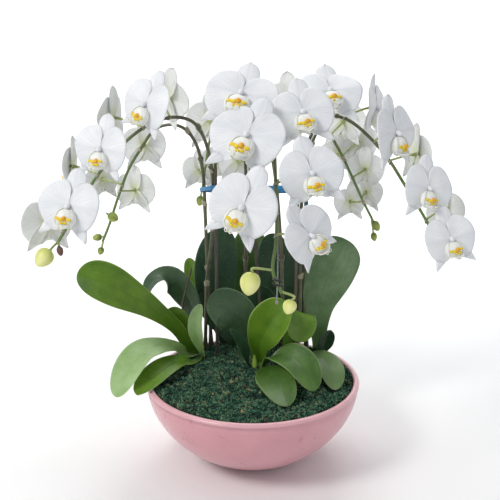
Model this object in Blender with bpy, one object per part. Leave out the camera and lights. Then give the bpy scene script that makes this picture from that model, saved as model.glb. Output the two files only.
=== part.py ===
"""Potted moth orchid: six arching flower spikes and their leaves in one round glazed bowl.

Metres, +Z up. The origin is the middle of the flat under the bowl's foot, -Y is the front.
"""
import math

import bmesh
import bpy
from mathutils import Matrix, Vector

# ---- Driving dimensions -------------------------------------------------------------------
GAP = 0.0003                # clearance kept between pieces that touch
ROUND_STEPS = 48            # segments of the turned pieces
HOLE_SLACK = 1.1            # how much wider than its piece a hole is cut

BOWL_RADIUS = 0.158
BOWL_HEIGHT = 0.126
BOWL_FOOT_RADIUS = 0.042
BOWL_WALL = 0.006
BOWL_LIP = 0.0035           # half the thickness of the rolled lip
LIP_SPREAD = 1.3            # how much wider than thick the lip is

MEDIUM_BOTTOM = 0.018
MEDIUM_TOP = 0.098
MOSS_EDGE_TOP = 0.1240
MOSS_MIDDLE_TOP = 0.130

STEM_BASE_RADIUS = 0.0029
STEM_TIP_RADIUS = 0.0018
CROWN_RADIUS = 0.006        # the thick foot that the spike grows from
CROWN_HEIGHT = 0.050
FRONT_CROWN = (0.004, 0.022)
FRONT_CROWN_TOP = 0.150
PEDICEL_RADIUS = 0.0014
BUD_BEND = 0.005            # how far from its bud a stalk bends
STAKE_RADIUS = 0.0024
STAKE_BOTTOM = 0.057

PETAL_THICKNESS = 0.0011
LEAF_EDGE = 0.0009
LEAF_MIDDLE = 0.0019

TIE_HEIGHT = 0.0065
TIE_THICKNESS = 0.001
TIE_LEVEL = 0.399           # at the front
TIE_SLOPE = 0.25            # how far it drops towards the back, as a share of the way

# ---- Flower spikes ------------------------------------------------------------------------
# points: the stem's route from the crown to its tip.
# buds: where each bud's tip and base are, and its diameter.
# flowers: the middle of each flower, then the way it faces as yaw (0 is the front, + is towards
# +X), pitch (+ is up) and roll (+ is clockwise as seen by someone facing it), then its width.
SPIKES = {
    "left_front": {
        "points": [(-0.078, 0.105, 0.105), (-0.075, 0.100, 0.180), (-0.072, 0.100, 0.250),
                   (-0.063, 0.095, 0.320), (-0.060, 0.087, 0.395), (-0.066, 0.070, 0.455),
                   (-0.083, 0.055, 0.495), (-0.111, 0.035, 0.507), (-0.142, 0.010, 0.500),
                   (-0.172, -0.010, 0.480), (-0.202, -0.025, 0.447), (-0.225, -0.035, 0.415),
                   (-0.249, -0.048, 0.373), (-0.266, -0.058, 0.345)],
        "buds": [((-0.293, -0.068, 0.316), (-0.275, -0.061, 0.337), 0.025),
                 ((-0.258, -0.072, 0.331), (-0.262, -0.065, 0.343), 0.009)],
        "flowers": [((-0.122, 0.065, 0.535), 142, 10, -28, 0.076),
                    ((-0.142, -0.035, 0.530), -32, 14, 16, 0.077),
                    ((-0.204, 0.045, 0.506), -108, 0, 0, 0.072),
                    ((-0.199, -0.065, 0.475), -18, 12, 7, 0.075),
                    ((-0.260, 0.020, 0.439), -95, 0, 0, 0.070),
                    ((-0.239, -0.090, 0.404), -10, 20, 8, 0.083),
                    ((-0.287, -0.025, 0.368), -145, 0, 0, 0.074)],
    },
    "left_back": {
        "points": [(-0.068, 0.122, 0.105), (-0.070, 0.122, 0.190), (-0.073, 0.122, 0.273),
                   (-0.075, 0.120, 0.355), (-0.077, 0.120, 0.411), (-0.086, 0.125, 0.454),
                   (-0.104, 0.130, 0.480), (-0.128, 0.135, 0.487), (-0.154, 0.140, 0.478),
                   (-0.176, 0.143, 0.449), (-0.198, 0.147, 0.414), (-0.218, 0.150, 0.366),
                   (-0.233, 0.153, 0.325), (-0.246, 0.155, 0.295)],
        "buds": [((-0.218, 0.146, 0.333), (-0.234, 0.155, 0.34), 0.016),
                 ((-0.263, 0.157, 0.3), (-0.247, 0.155, 0.303), 0.012),
                 ((-0.252, 0.156, 0.272), (-0.248, 0.155, 0.285), 0.011)],
        "flowers": [((-0.177, 0.185, 0.450), -165, 0, 0, 0.072),
                    ((-0.193, 0.184, 0.376), 170, 0, 0, 0.067),
                    ((-0.244, 0.160, 0.398), -135, 0, 0, 0.062)],
    },
    "centre": {
        "points": [(0.050, 0.100, 0.105), (0.048, 0.100, 0.210), (0.045, 0.100, 0.295),
                   (0.037, 0.090, 0.392), (0.028, 0.070, 0.455), (0.022, 0.035, 0.500),
                   (0.021, -0.005, 0.520), (0.024, -0.045, 0.508), (0.027, -0.085, 0.478),
                   (0.028, -0.115, 0.442), (0.029, -0.140, 0.405), (0.028, -0.155, 0.370),
                   (0.024, -0.165, 0.338), (0.035, -0.172, 0.310)],
        "buds": [((-0.007, -0.172, 0.308), (-0.001, -0.17, 0.337), 0.0255),
                 ((0.041, -0.176, 0.285), (0.048, -0.172, 0.302), 0.0175)],
        "flowers": [((-0.015, -0.055, 0.544), 0, 42, 16, 0.096),
                    ((0.055, 0.050, 0.523), 155, 5, 0, 0.078),
                    ((-0.007, -0.120, 0.498), -10, 34, 15, 0.095),
                    ((0.063, -0.075, 0.523), 3, 30, -8, 0.082),
                    ((0.070, -0.150, 0.456), 5, 22, -10, 0.079),
                    ((-0.012, -0.190, 0.423), -12, 14, 23, 0.083),
                    ((0.066, -0.190, 0.389), 34, 6, -38, 0.071)],
    },
    "right_back": {
        "points": [(0.089, 0.103, 0.105), (0.086, 0.122, 0.204), (0.085, 0.130, 0.287),
                   (0.085, 0.135, 0.368), (0.089, 0.140, 0.431), (0.099, 0.145, 0.470),
                   (0.116, 0.150, 0.476), (0.135, 0.155, 0.450), (0.157, 0.160, 0.409),
                   (0.179, 0.165, 0.364), (0.197, 0.165, 0.330)],
        "buds": [((0.208, 0.163, 0.311), (0.199, 0.164, 0.327), 0.014),
                 ((0.203, 0.168, 0.292), (0.2, 0.167, 0.307), 0.011)],
        "flowers": [((0.148, 0.185, 0.488), 165, 0, 0, 0.070),
                    ((0.176, 0.207, 0.452), 150, 0, 0, 0.068),
                    ((0.186, 0.186, 0.410), 165, 0, 0, 0.062)],
    },
    "right_front": {
        "points": [(0.071, 0.097, 0.105), (0.076, 0.101, 0.195), (0.076, 0.100, 0.262),
                   (0.075, 0.095, 0.344), (0.078, 0.080, 0.432), (0.088, 0.065, 0.483),
                   (0.108, 0.047, 0.507), (0.134, 0.025, 0.504), (0.160, 0.005, 0.484),
                   (0.186, -0.013, 0.455), (0.208, -0.026, 0.421), (0.230, -0.038, 0.386),
                   (0.246, -0.045, 0.358)],
        "buds": [((0.256, -0.046, 0.333), (0.25, -0.045, 0.348), 0.011)],
        "flowers": [((0.105, 0.002, 0.545), 5, 46, 0, 0.090),
                    ((0.176, 0.045, 0.520), 64, 0, 0, 0.076),
                    ((0.192, -0.030, 0.492), 45, 8, -4, 0.084),
                    ((0.235, 0.022, 0.456), 108, 0, 0, 0.071),
                    ((0.232, -0.066, 0.423), 22, 14, 8, 0.073),
                    ((0.274, 0.005, 0.379), 128, 0, 0, 0.068),
                    ((0.259, -0.090, 0.360), 10, 18, -12, 0.071)],
    },
    "back": {
        "points": [(-0.015, 0.135, 0.105), (-0.012, 0.150, 0.195), (-0.011, 0.155, 0.280),
                   (-0.010, 0.160, 0.380), (-0.014, 0.170, 0.450), (-0.025, 0.185, 0.488),
                   (-0.041, 0.197, 0.498), (-0.058, 0.208, 0.487), (-0.071, 0.216, 0.454),
                   (-0.080, 0.221, 0.404), (-0.086, 0.224, 0.365)],
        "buds": [((-0.091, 0.226, 0.34), (-0.088, 0.225, 0.358), 0.014)],
        "flowers": [((-0.073, 0.242, 0.483), -170, 0, 0, 0.080)],
    },
}

# ---- Leaves -------------------------------------------------------------------------------
# points: the midrib's route from base to tip. face: the way the upper side looks at the base
# and at the tip. width: the widest place. fold: how deep the channel is, as a share of the half
# width. broad_at: where along its length the leaf is widest. waist: how much it narrows before
# that.
LEAVES = {
    "left_broad": {
        "points": [(-0.098, 0.074, 0.140), (-0.118, 0.058, 0.180), (-0.150, 0.035, 0.218),
                   (-0.185, 0.012, 0.250), (-0.219, -0.003, 0.273), (-0.253, -0.012, 0.286)],
        "face": [(-0.3, -0.8, 0.5), (0.1, -0.6, 0.8)], "width": 0.067, "fold": 0.16,
        "broad_at": 0.78, "waist": 2.0},
    "left_arched": {
        "points": [(-0.101, 0.112, 0.140), (-0.097, 0.111, 0.172), (-0.099, 0.110, 0.200),
                   (-0.112, 0.107, 0.226), (-0.127, 0.100, 0.245), (-0.143, 0.090, 0.254),
                   (-0.155, 0.079, 0.251), (-0.162, 0.070, 0.240), (-0.164, 0.064, 0.224)],
        "face": [(-0.4, -0.85, 0.3), (-0.4, -0.85, 0.35), (-0.35, -0.75, 0.6),
                 (-0.5, -0.5, 0.7), (-0.85, -0.4, 0.3)], "width": 0.042, "fold": 0.14,
        "broad_at": 0.36, "waist": 1.0},
    "left_small": {
        "points": [(-0.095, 0.140, 0.138), (-0.092, 0.152, 0.175), (-0.091, 0.160, 0.205),
                   (-0.098, 0.166, 0.235), (-0.107, 0.170, 0.263)],
        "face": [(-0.4, -0.9, 0.0), (-0.3, -0.9, 0.2)], "width": 0.034, "fold": 0.25,
        "broad_at": 0.6, "waist": 1.0},
    "left_pale": {
        "points": [(-0.100, 0.056, 0.136), (-0.121, 0.040, 0.156), (-0.145, 0.020, 0.164),
                   (-0.165, -0.002, 0.162), (-0.180, -0.031, 0.148), (-0.194, -0.063, 0.120)],
        "face": [(-0.3, -0.6, 0.8), (-0.3, -0.6, 0.7)], "width": 0.053, "fold": 0.20,
        "broad_at": 0.68, "waist": 1.0},
    "left_low": {
        "points": [(-0.090, 0.038, 0.132), (-0.113, 0.016, 0.140), (-0.139, -0.022, 0.138),
                   (-0.165, -0.064, 0.124)],
        "face": [(-0.2, -0.5, 0.9), (-0.2, -0.5, 0.9)], "width": 0.045, "fold": 0.28,
        "broad_at": 0.6, "waist": 1.0},
    "left_short": {
        "points": [(-0.077, 0.058, 0.134), (-0.085, 0.051, 0.165), (-0.087, 0.048, 0.194),
                   (-0.079, 0.047, 0.223)],
        "face": [(-0.5, -0.9, 0.2), (-0.3, -0.9, 0.2)], "width": 0.025, "fold": 0.35,
        "broad_at": 0.5, "waist": 1.0},
    "back_left": {
        "points": [(-0.046, 0.130, 0.136), (-0.060, 0.138, 0.195), (-0.060, 0.147, 0.261),
                   (-0.047, 0.160, 0.318)],
        "face": [(0.1, -1.0, 0.1), (0.1, -1.0, 0.2)], "width": 0.070, "fold": 0.20,
        "broad_at": 0.6, "waist": 1.0},
    "back_middle": {
        "points": [(-0.022, 0.172, 0.128), (-0.016, 0.180, 0.189), (-0.008, 0.190, 0.253),
                   (0.000, 0.205, 0.312)],
        "face": [(0.0, -1.0, 0.1), (0.0, -1.0, 0.2)], "width": 0.066, "fold": 0.20,
        "broad_at": 0.6, "waist": 1.0},
    "back_right": {
        "points": [(0.048, 0.130, 0.135), (0.045, 0.140, 0.197), (0.040, 0.150, 0.257),
                   (0.030, 0.165, 0.306)],
        "face": [(-0.1, -1.0, 0.1), (-0.1, -1.0, 0.2)], "width": 0.062, "fold": 0.20,
        "broad_at": 0.6, "waist": 1.0},
    "right_tall": {
        "points": [(0.107, 0.086, 0.134), (0.106, 0.094, 0.170), (0.108, 0.102, 0.210),
                   (0.122, 0.112, 0.250), (0.139, 0.122, 0.283), (0.152, 0.130, 0.304)],
        "face": [(0.1, -1.0, 0.2), (-0.1, -0.9, 0.4)], "width": 0.078, "fold": 0.22,
        "broad_at": 0.68, "waist": 1.3},
    "right_small": {
        "points": [(0.107, 0.068, 0.132), (0.115, 0.065, 0.157), (0.122, 0.062, 0.175)],
        "face": [(0.3, -0.9, 0.3), (0.3, -0.9, 0.3)], "width": 0.026, "fold": 0.3,
        "broad_at": 0.45, "waist": 1.0},
    "middle_round": {
        "points": [(-0.012, 0.046, 0.136), (-0.011, 0.045, 0.172), (-0.021, 0.041, 0.202),
                   (-0.043, 0.035, 0.221), (-0.069, 0.030, 0.229)],
        "face": [(0.0, -1.0, 0.3), (-0.1, -0.9, 0.5)], "width": 0.064, "fold": 0.14,
        "broad_at": 0.64, "waist": 1.0},
    "front_upright": {
        "points": [(0.011, 0.032, 0.134), (0.012, 0.024, 0.168), (0.023, 0.014, 0.198),
                   (0.039, 0.004, 0.222), (0.055, -0.004, 0.239)],
        "face": [(-0.4, -0.9, 0.2), (-0.2, -0.9, 0.45)], "width": 0.060, "fold": 0.42,
        "broad_at": 0.56, "waist": 1.0},
    "front_curled": {
        "points": [(0.054, 0.076, 0.134), (0.059, 0.071, 0.175), (0.065, 0.056, 0.204),
                   (0.070, 0.034, 0.214), (0.071, 0.014, 0.201), (0.069, 0.002, 0.178)],
        "face": [(0.1, 1.0, 0.1), (0.35, 0.8, 0.6), (0.6, 0.2, 1.0), (0.4, -0.6, 0.8),
                 (0.2, -0.95, 0.3)], "width": 0.050, "fold": 0.2,
        "broad_at": 0.72, "waist": 1.0},
    "front_right": {
        "points": [(0.018, 0.012, 0.137), (0.032, -0.010, 0.162), (0.052, -0.034, 0.169),
                   (0.070, -0.058, 0.162), (0.085, -0.083, 0.139)],
        "face": [(0.1, -0.4, 0.9), (0.3, -0.6, 0.7)], "width": 0.056, "fold": 0.28,
        "broad_at": 0.55, "waist": 1.0},
    "front_low": {
        "points": [(0.010, 0.000, 0.134), (0.022, -0.032, 0.143), (0.036, -0.070, 0.141),
                   (0.048, -0.112, 0.130)],
        "face": [(-0.1, -0.5, 0.9), (-0.1, -0.6, 0.8)], "width": 0.050, "fold": 0.22,
        "broad_at": 0.55, "waist": 1.0},
    "front_narrow": {
        "points": [(-0.007, 0.018, 0.138), (-0.012, 0.012, 0.160), (-0.021, 0.006, 0.182),
                   (-0.033, 0.000, 0.200)],
        "face": [(0.3, -0.9, 0.3), (0.3, -0.9, 0.3)], "width": 0.015, "fold": 0.4,
        "broad_at": 0.4, "waist": 1.0},
    "right_low": {
        "points": [(0.080, 0.054, 0.134), (0.100, 0.019, 0.151), (0.112, -0.021, 0.147),
                   (0.117, -0.058, 0.129)],
        "face": [(0.2, -0.4, 0.9), (0.3, -0.6, 0.8)], "width": 0.044, "fold": 0.22,
        "broad_at": 0.55, "waist": 1.0},
}

# Each stake's foot and top, as places in plan, and the height of its top.
STAKES = {
    "left": ((-0.056, 0.070), (-0.056, 0.0785), 0.440),
    "middle": ((0.022, 0.112), (-0.006, 0.118), 0.455),
    "right": ((0.067, 0.084), (0.069, 0.079), 0.440),
}

# The tie's route round the outside of the stems and stakes, seen in plan.
TIE_ROUTE = [(-0.0565, 0.0727), (0.006, 0.0745), (0.069, 0.0740), (0.083, 0.081), (0.0925, 0.110),
             (0.0915, 0.140), (0.080, 0.1455), (0.035, 0.158), (-0.010, 0.1665), (-0.045, 0.151),
             (-0.079, 0.1245), (-0.0795, 0.112), (-0.066, 0.085)]


# ---- Materials ----------------------------------------------------------------------------
def material(name, colour, roughness):
    made = bpy.data.materials.new(name)
    made.use_nodes = True
    shader = made.node_tree.nodes["Principled BSDF"]
    shader.inputs["Base Color"].default_value = (*colour, 1.0)
    shader.inputs["Roughness"].default_value = roughness
    shader.inputs["Metallic"].default_value = 0.0
    return made


def make_materials():
    return {
        "glaze": material("glaze", (0.72, 0.30, 0.34), 0.22),
        "medium": material("medium", (0.09, 0.06, 0.04), 0.95),
        "moss": material("moss", (0.03, 0.11, 0.07), 0.95),
        "leaf": material("leaf", (0.07, 0.17, 0.03), 0.35),
        "crown": material("crown", (0.35, 0.45, 0.14), 0.45),
        "stem": material("stem", (0.12, 0.16, 0.05), 0.45),
        "petal": material("petal", (0.88, 0.89, 0.91), 0.50),
        "stake": material("stake", (0.10, 0.07, 0.05), 0.60),
        "tie": material("tie", (0.03, 0.24, 0.55), 0.40),
    }


# ---- Shared tools -------------------------------------------------------------------------
def add_object(name, bm, finish, smooth_angle=40.0):
    """Turns a bmesh into an object with its faces pointing outwards."""
    bmesh.ops.recalc_face_normals(bm, faces=bm.faces)
    mesh = bpy.data.meshes.new(name)
    bm.to_mesh(mesh)
    bm.free()
    mesh.shade_smooth()
    mesh.set_sharp_from_angle(angle=math.radians(smooth_angle))
    mesh.materials.append(finish)
    made = bpy.data.objects.new(name, mesh)
    bpy.context.scene.collection.objects.link(made)
    return made


def combine(target, tool, operation):
    """Cuts a helper object from the target or joins it on, and hides the helper."""
    tool.hide_render = True
    tool.display_type = "WIRE"
    cut = target.modifiers.new(operation.lower() + "_" + tool.name, "BOOLEAN")
    cut.operation = operation
    cut.solver = "EXACT"
    cut.object = tool


def smooth_route(points, steps):
    """Reads a smooth curve through the points, with this many steps between neighbours."""
    places = [Vector(point) for point in points]
    places = [2 * places[0] - places[1]] + places + [2 * places[-1] - places[-2]]
    route = []
    for first, start, end, last in zip(places, places[1:], places[2:], places[3:]):
        for step in range(steps):
            t = step / steps
            route.append(0.5 * (2 * start + (end - first) * t
                                + (2 * first - 5 * start + 4 * end - last) * t * t
                                + (3 * start - first - 3 * end + last) * t ** 3))
    route.append(places[-2])
    return route


def directions(route):
    """The direction of travel at each point of a route."""
    ends = zip([route[0]] + route[:-1], route[1:] + [route[-1]])
    return [(after - before).normalized() for before, after in ends]


def add_tube(bm, route, radii, sides):
    """A closed round tube along a route, with its own radius at each point."""
    rings = []
    across = None
    for place, ahead, radius in zip(route, directions(route), radii):
        if across is None:
            across = ahead.orthogonal()
        across = (across - ahead * across.dot(ahead)).normalized()
        side = ahead.cross(across)
        angles = [2 * math.pi * k / sides for k in range(sides)]
        rings.append([bm.verts.new(place + radius * (math.cos(a) * across + math.sin(a) * side))
                      for a in angles])
    for ring, following in zip(rings, rings[1:]):
        for k in range(sides):
            bm.faces.new((ring[k], ring[(k + 1) % sides],
                          following[(k + 1) % sides], following[k]))
    bm.faces.new(rings[0][::-1])
    bm.faces.new(rings[-1])


def turned(name, profile, finish):
    """A solid turned about the Z axis from an outline that starts and ends on the axis."""
    bm = bmesh.new()
    outline = [bm.verts.new((radius, 0.0, height)) for radius, height in profile]
    edges = [bm.edges.new(pair) for pair in zip(outline, outline[1:])]
    bmesh.ops.spin(bm, geom=outline + edges, cent=(0, 0, 0), axis=(0, 0, 1), dvec=(0, 0, 0),
                   angle=2 * math.pi, steps=ROUND_STEPS, use_merge=True)
    bmesh.ops.remove_doubles(bm, verts=bm.verts, dist=0.00001)
    return add_object(name, bm, finish)


# ---- Bowl and what fills it ---------------------------------------------------------------
def bowl_outside(height):
    """The radius of the bowl's outer side at this height."""
    rise = 1.0 - (1.0 - height / BOWL_HEIGHT) ** 2
    return BOWL_FOOT_RADIUS + (BOWL_RADIUS - BOWL_FOOT_RADIUS) * rise ** (1 / 1.4)


def bowl_inside(height):
    return bowl_outside(height) - BOWL_WALL - 0.003 * (1.0 - height / BOWL_HEIGHT)


def add_bowl(finish):
    lip_middle = BOWL_HEIGHT - BOWL_LIP
    outer_steps = [0.0, 0.002, 0.006, 0.014, 0.026, 0.042, 0.062, 0.086, 0.108]
    outer = [(bowl_outside(z), z) for z in outer_steps]
    lip = [(BOWL_RADIUS - BOWL_LIP + LIP_SPREAD * BOWL_LIP * math.cos(a),
            lip_middle + BOWL_LIP * math.sin(a))
           for a in [math.radians(d) for d in (-60, -20, 20, 60, 90, 120, 160)]]
    inner_steps = [0.108, 0.086, 0.062, 0.042, 0.026, 0.016]
    inner = [(bowl_inside(z), z) for z in inner_steps]
    floor = [(0.040, 0.0125), (0.0, 0.012)]
    return turned("bowl", [(0.0, 0.0)] + outer + lip + inner + floor, finish)


def add_growing_medium(finish):
    heights = [MEDIUM_BOTTOM, 0.028, 0.042, 0.062, 0.086, MEDIUM_TOP]
    side = [(bowl_inside(z) - 0.0015, z) for z in heights]
    side[0] = (0.045, MEDIUM_BOTTOM)
    return turned("growing_medium", [(0.0, MEDIUM_BOTTOM)] + side + [(0.0, MEDIUM_TOP)], finish)


def moss_top(radius):
    """The height of the moss at this distance from the middle."""
    share = radius / 0.145
    return MOSS_MIDDLE_TOP - (MOSS_MIDDLE_TOP - MOSS_EDGE_TOP) * share ** 3


def add_moss(finish):
    bottom = MEDIUM_TOP + GAP
    edge = bowl_inside(bottom) - 0.0015
    top = [(radius, moss_top(radius)) for radius in (0.145, 0.125, 0.095, 0.055)]
    return turned("moss", [(0.0, bottom), (edge, bottom)] + top + [(0.0, moss_top(0.0))], finish)


def cut_round_hole(name, targets, foot, top, radius):
    """Cuts a straight round hole, from below its foot to above its top."""
    route = [Vector(foot), Vector(top)]
    bm = bmesh.new()
    add_tube(bm, route, [radius] * 2, 8)
    cutter = add_object(name, bm, targets[0].data.materials[0])
    for target in targets:
        combine(target, cutter, "DIFFERENCE")


# ---- Stems --------------------------------------------------------------------------------
def stem_radii(route):
    """A thick crown at the foot, then a stem that thins towards its tip."""
    radii = []
    for index, place in enumerate(route):
        share = index / (len(route) - 1)
        radius = STEM_BASE_RADIUS + (STEM_TIP_RADIUS - STEM_BASE_RADIUS) * share
        above = max(0.0, (place.z - MEDIUM_TOP) / CROWN_HEIGHT)
        crown = (CROWN_RADIUS - radius) * max(0.0, 1.0 - above) ** 0.7
        radii.append(radius + crown)
    return radii


def nearest_on(route, radii, place):
    """The route's nearest point to a place, and the radius there."""
    index = min(range(len(route)), key=lambda k: (route[k] - place).length)
    return route[index], radii[index]


def bud_route(stem_place, tip, base, diameter):
    """From inside the stem along the bud's stalk to the bud's tip, with the radii."""
    bend = base - (tip - base).normalized() * BUD_BEND
    shares = (0.12, 0.40, 0.70, 0.92, 1.0)
    swell = (0.62, 1.0, 0.85, 0.45, 0.15)
    route = [stem_place, bend, base] + [base.lerp(tip, share) for share in shares]
    radii = [PEDICEL_RADIUS] * 3 + [diameter / 2 * size for size in swell]
    return route, radii


def add_spike(name, spike, finish):
    route = smooth_route(spike["points"], 2)
    radii = stem_radii(route)
    bm = bmesh.new()
    add_tube(bm, route, radii, 6)
    stem = add_object("spike_" + name, bm, finish)
    for number, (tip, base, diameter) in enumerate(spike["buds"], 1):
        stem_place, _ = nearest_on(route[:-1], radii[:-1], Vector(base))
        bm = bmesh.new()
        add_tube(bm, *bud_route(stem_place, Vector(tip), Vector(base), diameter), 8)
        bud = add_object(f"bud_{name}_{number}", bm, finish)
        combine(stem, bud, "UNION")
    return route, radii


# ---- Flowers ------------------------------------------------------------------------------
# Each lobe's middle direction, half its spread, its length, and how far it lies forward of the
# flower's middle at its tip. Lengths are shares of the flower's width.
LOBES = [
    (90, 30, 0.58, -0.03),      # dorsal sepal
    (0, 88, 0.50, 0.01),        # right petal
    (180, 88, 0.50, 0.01),      # left petal
    (-52, 18, 0.60, -0.04),     # right lateral sepal
    (232, 18, 0.60, -0.04),     # left lateral sepal
]
LOBE_POINTEDNESS = 0.22
OUTLINE_STEPS = 24
HUB_STEPS = 6


def outline_point(degrees):
    """The flower's reach and its forward lean in this direction."""
    reach, forward = 0.17, -0.01
    for middle, spread, length, lean in LOBES:
        off = abs((degrees - middle + 180) % 360 - 180)
        if off < spread:
            lobe = length * math.cos(math.pi / 2 * off / spread) ** LOBE_POINTEDNESS
            if lobe > reach:
                reach, forward = lobe, lean * lobe / length
    return reach, forward


def flower_matrix(flower):
    """Local +Z is the way the flower faces and local +Y is its top."""
    place, yaw, pitch, roll, _ = flower
    turn = (Matrix.Rotation(math.radians(yaw), 4, "Z")
            @ Matrix.Rotation(math.radians(90 - pitch), 4, "X")
            @ Matrix.Rotation(math.radians(-roll), 4, "Z"))
    return Matrix.Translation(place) @ turn


def pedicel_route(matrix, width, stem_route, stem_sizes):
    """The stalk from the flower's back to just off the stem."""
    start = matrix @ Vector((0, 0, -0.03 * width))
    behind = matrix @ Vector((0, 0, -0.30 * width))
    stem_place, stem_radius = nearest_on(stem_route, stem_sizes, behind)
    outwards = (behind - stem_place).normalized()
    end = stem_place + outwards * (stem_radius + 2 * GAP)
    knee = matrix @ Vector((0, 0, -0.25 * width))
    steps = [0.25, 0.5, 0.75, 1.0]
    return [start * (1 - t) ** 2 + knee * 2 * t * (1 - t) + end * t * t for t in steps]


def add_flower(name, flower, stem_route, stem_sizes, finish):
    width = flower[-1]
    matrix = flower_matrix(flower)
    bm = bmesh.new()
    front, back = [], []
    for step in range(OUTLINE_STEPS):
        degrees = 360 * step / OUTLINE_STEPS
        reach, forward = outline_point(degrees)
        angle = math.radians(degrees)
        across = (reach * width * math.cos(angle), reach * width * math.sin(angle))
        front.append(bm.verts.new((*across, forward * width + PETAL_THICKNESS / 2)))
        back.append(bm.verts.new((*across, forward * width - PETAL_THICKNESS / 2)))

    def hub_ring(radius, height, drop):
        angles = [2 * math.pi * k / HUB_STEPS for k in range(HUB_STEPS)]
        return [bm.verts.new((radius * width * math.cos(a),
                              (radius * math.sin(a) - drop) * width, height * width))
                for a in angles]

    def join_hub(outline, hub):
        per_hub = OUTLINE_STEPS // HUB_STEPS
        for step in range(OUTLINE_STEPS):
            inner = hub[step // per_hub]
            after = outline[(step + 1) % OUTLINE_STEPS]
            bm.faces.new((inner, outline[step], after))
            if step % per_hub == per_hub - 1:
                bm.faces.new((inner, after, hub[(step // per_hub + 1) % HUB_STEPS]))

    def join_rings(ring, following):
        for k in range(HUB_STEPS):
            bm.faces.new((ring[k], ring[(k + 1) % HUB_STEPS],
                          following[(k + 1) % HUB_STEPS], following[k]))

    front_hub = hub_ring(0.11, 0.01, 0.0)
    lip = hub_ring(0.07, 0.13, 0.06)
    back_hub = hub_ring(0.05, -0.025, 0.0)
    join_hub(front, front_hub)
    join_rings(front_hub, lip)
    bm.faces.new(lip)
    join_hub(back, back_hub)
    for step in range(OUTLINE_STEPS):
        after = (step + 1) % OUTLINE_STEPS
        bm.faces.new((front[step], front[after], back[after], back[step]))
    bmesh.ops.transform(bm, matrix=matrix, verts=bm.verts)

    ring = back_hub
    route = pedicel_route(matrix, width, stem_route, stem_sizes)
    start = back_hub[0].co.lerp(back_hub[HUB_STEPS // 2].co, 0.5)
    for place, ahead in zip(route, directions([start] + route)[1:]):
        across = matrix.to_3x3() @ Vector((1, 0, 0))
        across = (across - ahead * across.dot(ahead)).normalized()
        side = across.cross(ahead)
        angles = [2 * math.pi * k / HUB_STEPS for k in range(HUB_STEPS)]
        reach = [PEDICEL_RADIUS * (math.cos(a) * across + math.sin(a) * side) for a in angles]
        following = [bm.verts.new(place + step) for step in reach]
        join_rings(ring, following)
        ring = following
    bm.faces.new(ring)
    return add_object(name, bm, finish)


# ---- Leaves -------------------------------------------------------------------------------
def leaf_half_width(share, leaf):
    """Half the leaf's width at this share of its length: narrow base, broad blade, round tip."""
    broad_at = leaf["broad_at"]
    if share < broad_at:
        rise = (0.5 - 0.5 * math.cos(math.pi * share / broad_at)) ** leaf["waist"]
        return leaf["width"] / 2 * (0.30 + 0.70 * rise)
    fall = (share - broad_at) / (1.0 - broad_at)
    return leaf["width"] / 2 * max(0.06, 1.0 - fall ** 2.4) ** 0.8


def leaf_face(share, leaf):
    """The way the leaf's upper side looks at this share of its length."""
    faces = [Vector(face).normalized() for face in leaf["face"]]
    place = share * (len(faces) - 1)
    low = min(int(place), len(faces) - 2)
    return faces[low].lerp(faces[low + 1], place - low)


def add_leaf(name, leaf, finish):
    """A thin closed blade, folded to a channel along its midrib."""
    route = smooth_route(leaf["points"], 3)
    bm = bmesh.new()
    rings = []
    for index, (place, ahead) in enumerate(zip(route, directions(route))):
        share = index / (len(route) - 1)
        face = leaf_face(share, leaf)
        up = (face - ahead * face.dot(ahead)).normalized()
        side = ahead.cross(up)
        half = leaf_half_width(share, leaf)
        lift = up * half * leaf["fold"]
        top = [place - side * half + lift, place, place + side * half + lift]
        thickness = [LEAF_EDGE, LEAF_MIDDLE * (1.0 - 0.4 * share), LEAF_EDGE]
        bottom = [point - up * thick for point, thick in zip(top, thickness)]
        rings.append([bm.verts.new(point) for point in top + bottom[::-1]])
    count = len(rings[0])
    for ring, following in zip(rings, rings[1:]):
        for k in range(count):
            near, near_next = ring[k], ring[(k + 1) % count]
            far, far_next = following[k], following[(k + 1) % count]
            # Both sides are split along the same line, so the blade keeps its thickness.
            if k < count // 2:
                triangles = (near, near_next, far_next), (near, far_next, far)
            else:
                triangles = (near, near_next, far), (near_next, far_next, far)
            for triangle in triangles:
                bm.faces.new(triangle)
    for ring in (rings[0], rings[-1]):
        left_top, middle_top, right_top, right_low, middle_low, left_low = ring
        bm.faces.new((left_top, middle_top, middle_low, left_low))
        bm.faces.new((middle_top, right_top, right_low, middle_low))
    return add_object(name, bm, finish)


def add_front_crown(finish):
    """The short pale stem that the front leaves grow from."""
    x, y = FRONT_CROWN
    route = smooth_route([(x, y, MEDIUM_TOP + 2 * GAP), (x, y, BOWL_HEIGHT),
                          (x - 0.002, y - 0.002, FRONT_CROWN_TOP)], 2)
    sizes = [1.0, 1.1, 1.0, 0.7, 0.3]
    bm = bmesh.new()
    add_tube(bm, route, [CROWN_RADIUS * size for size in sizes], 8)
    return add_object("front_crown", bm, finish)


# ---- Stakes and tie -----------------------------------------------------------------------
def add_stake(name, stake, finish):
    (foot_x, foot_y), (top_x, top_y), top = stake
    foot_place = Vector((foot_x, foot_y, STAKE_BOTTOM))
    top_place = Vector((top_x, top_y, top))
    bm = bmesh.new()
    add_tube(bm, [foot_place, top_place], [STAKE_RADIUS] * 2, 8)
    add_object("stake_" + name, bm, finish)
    return foot_place, top_place


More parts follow.
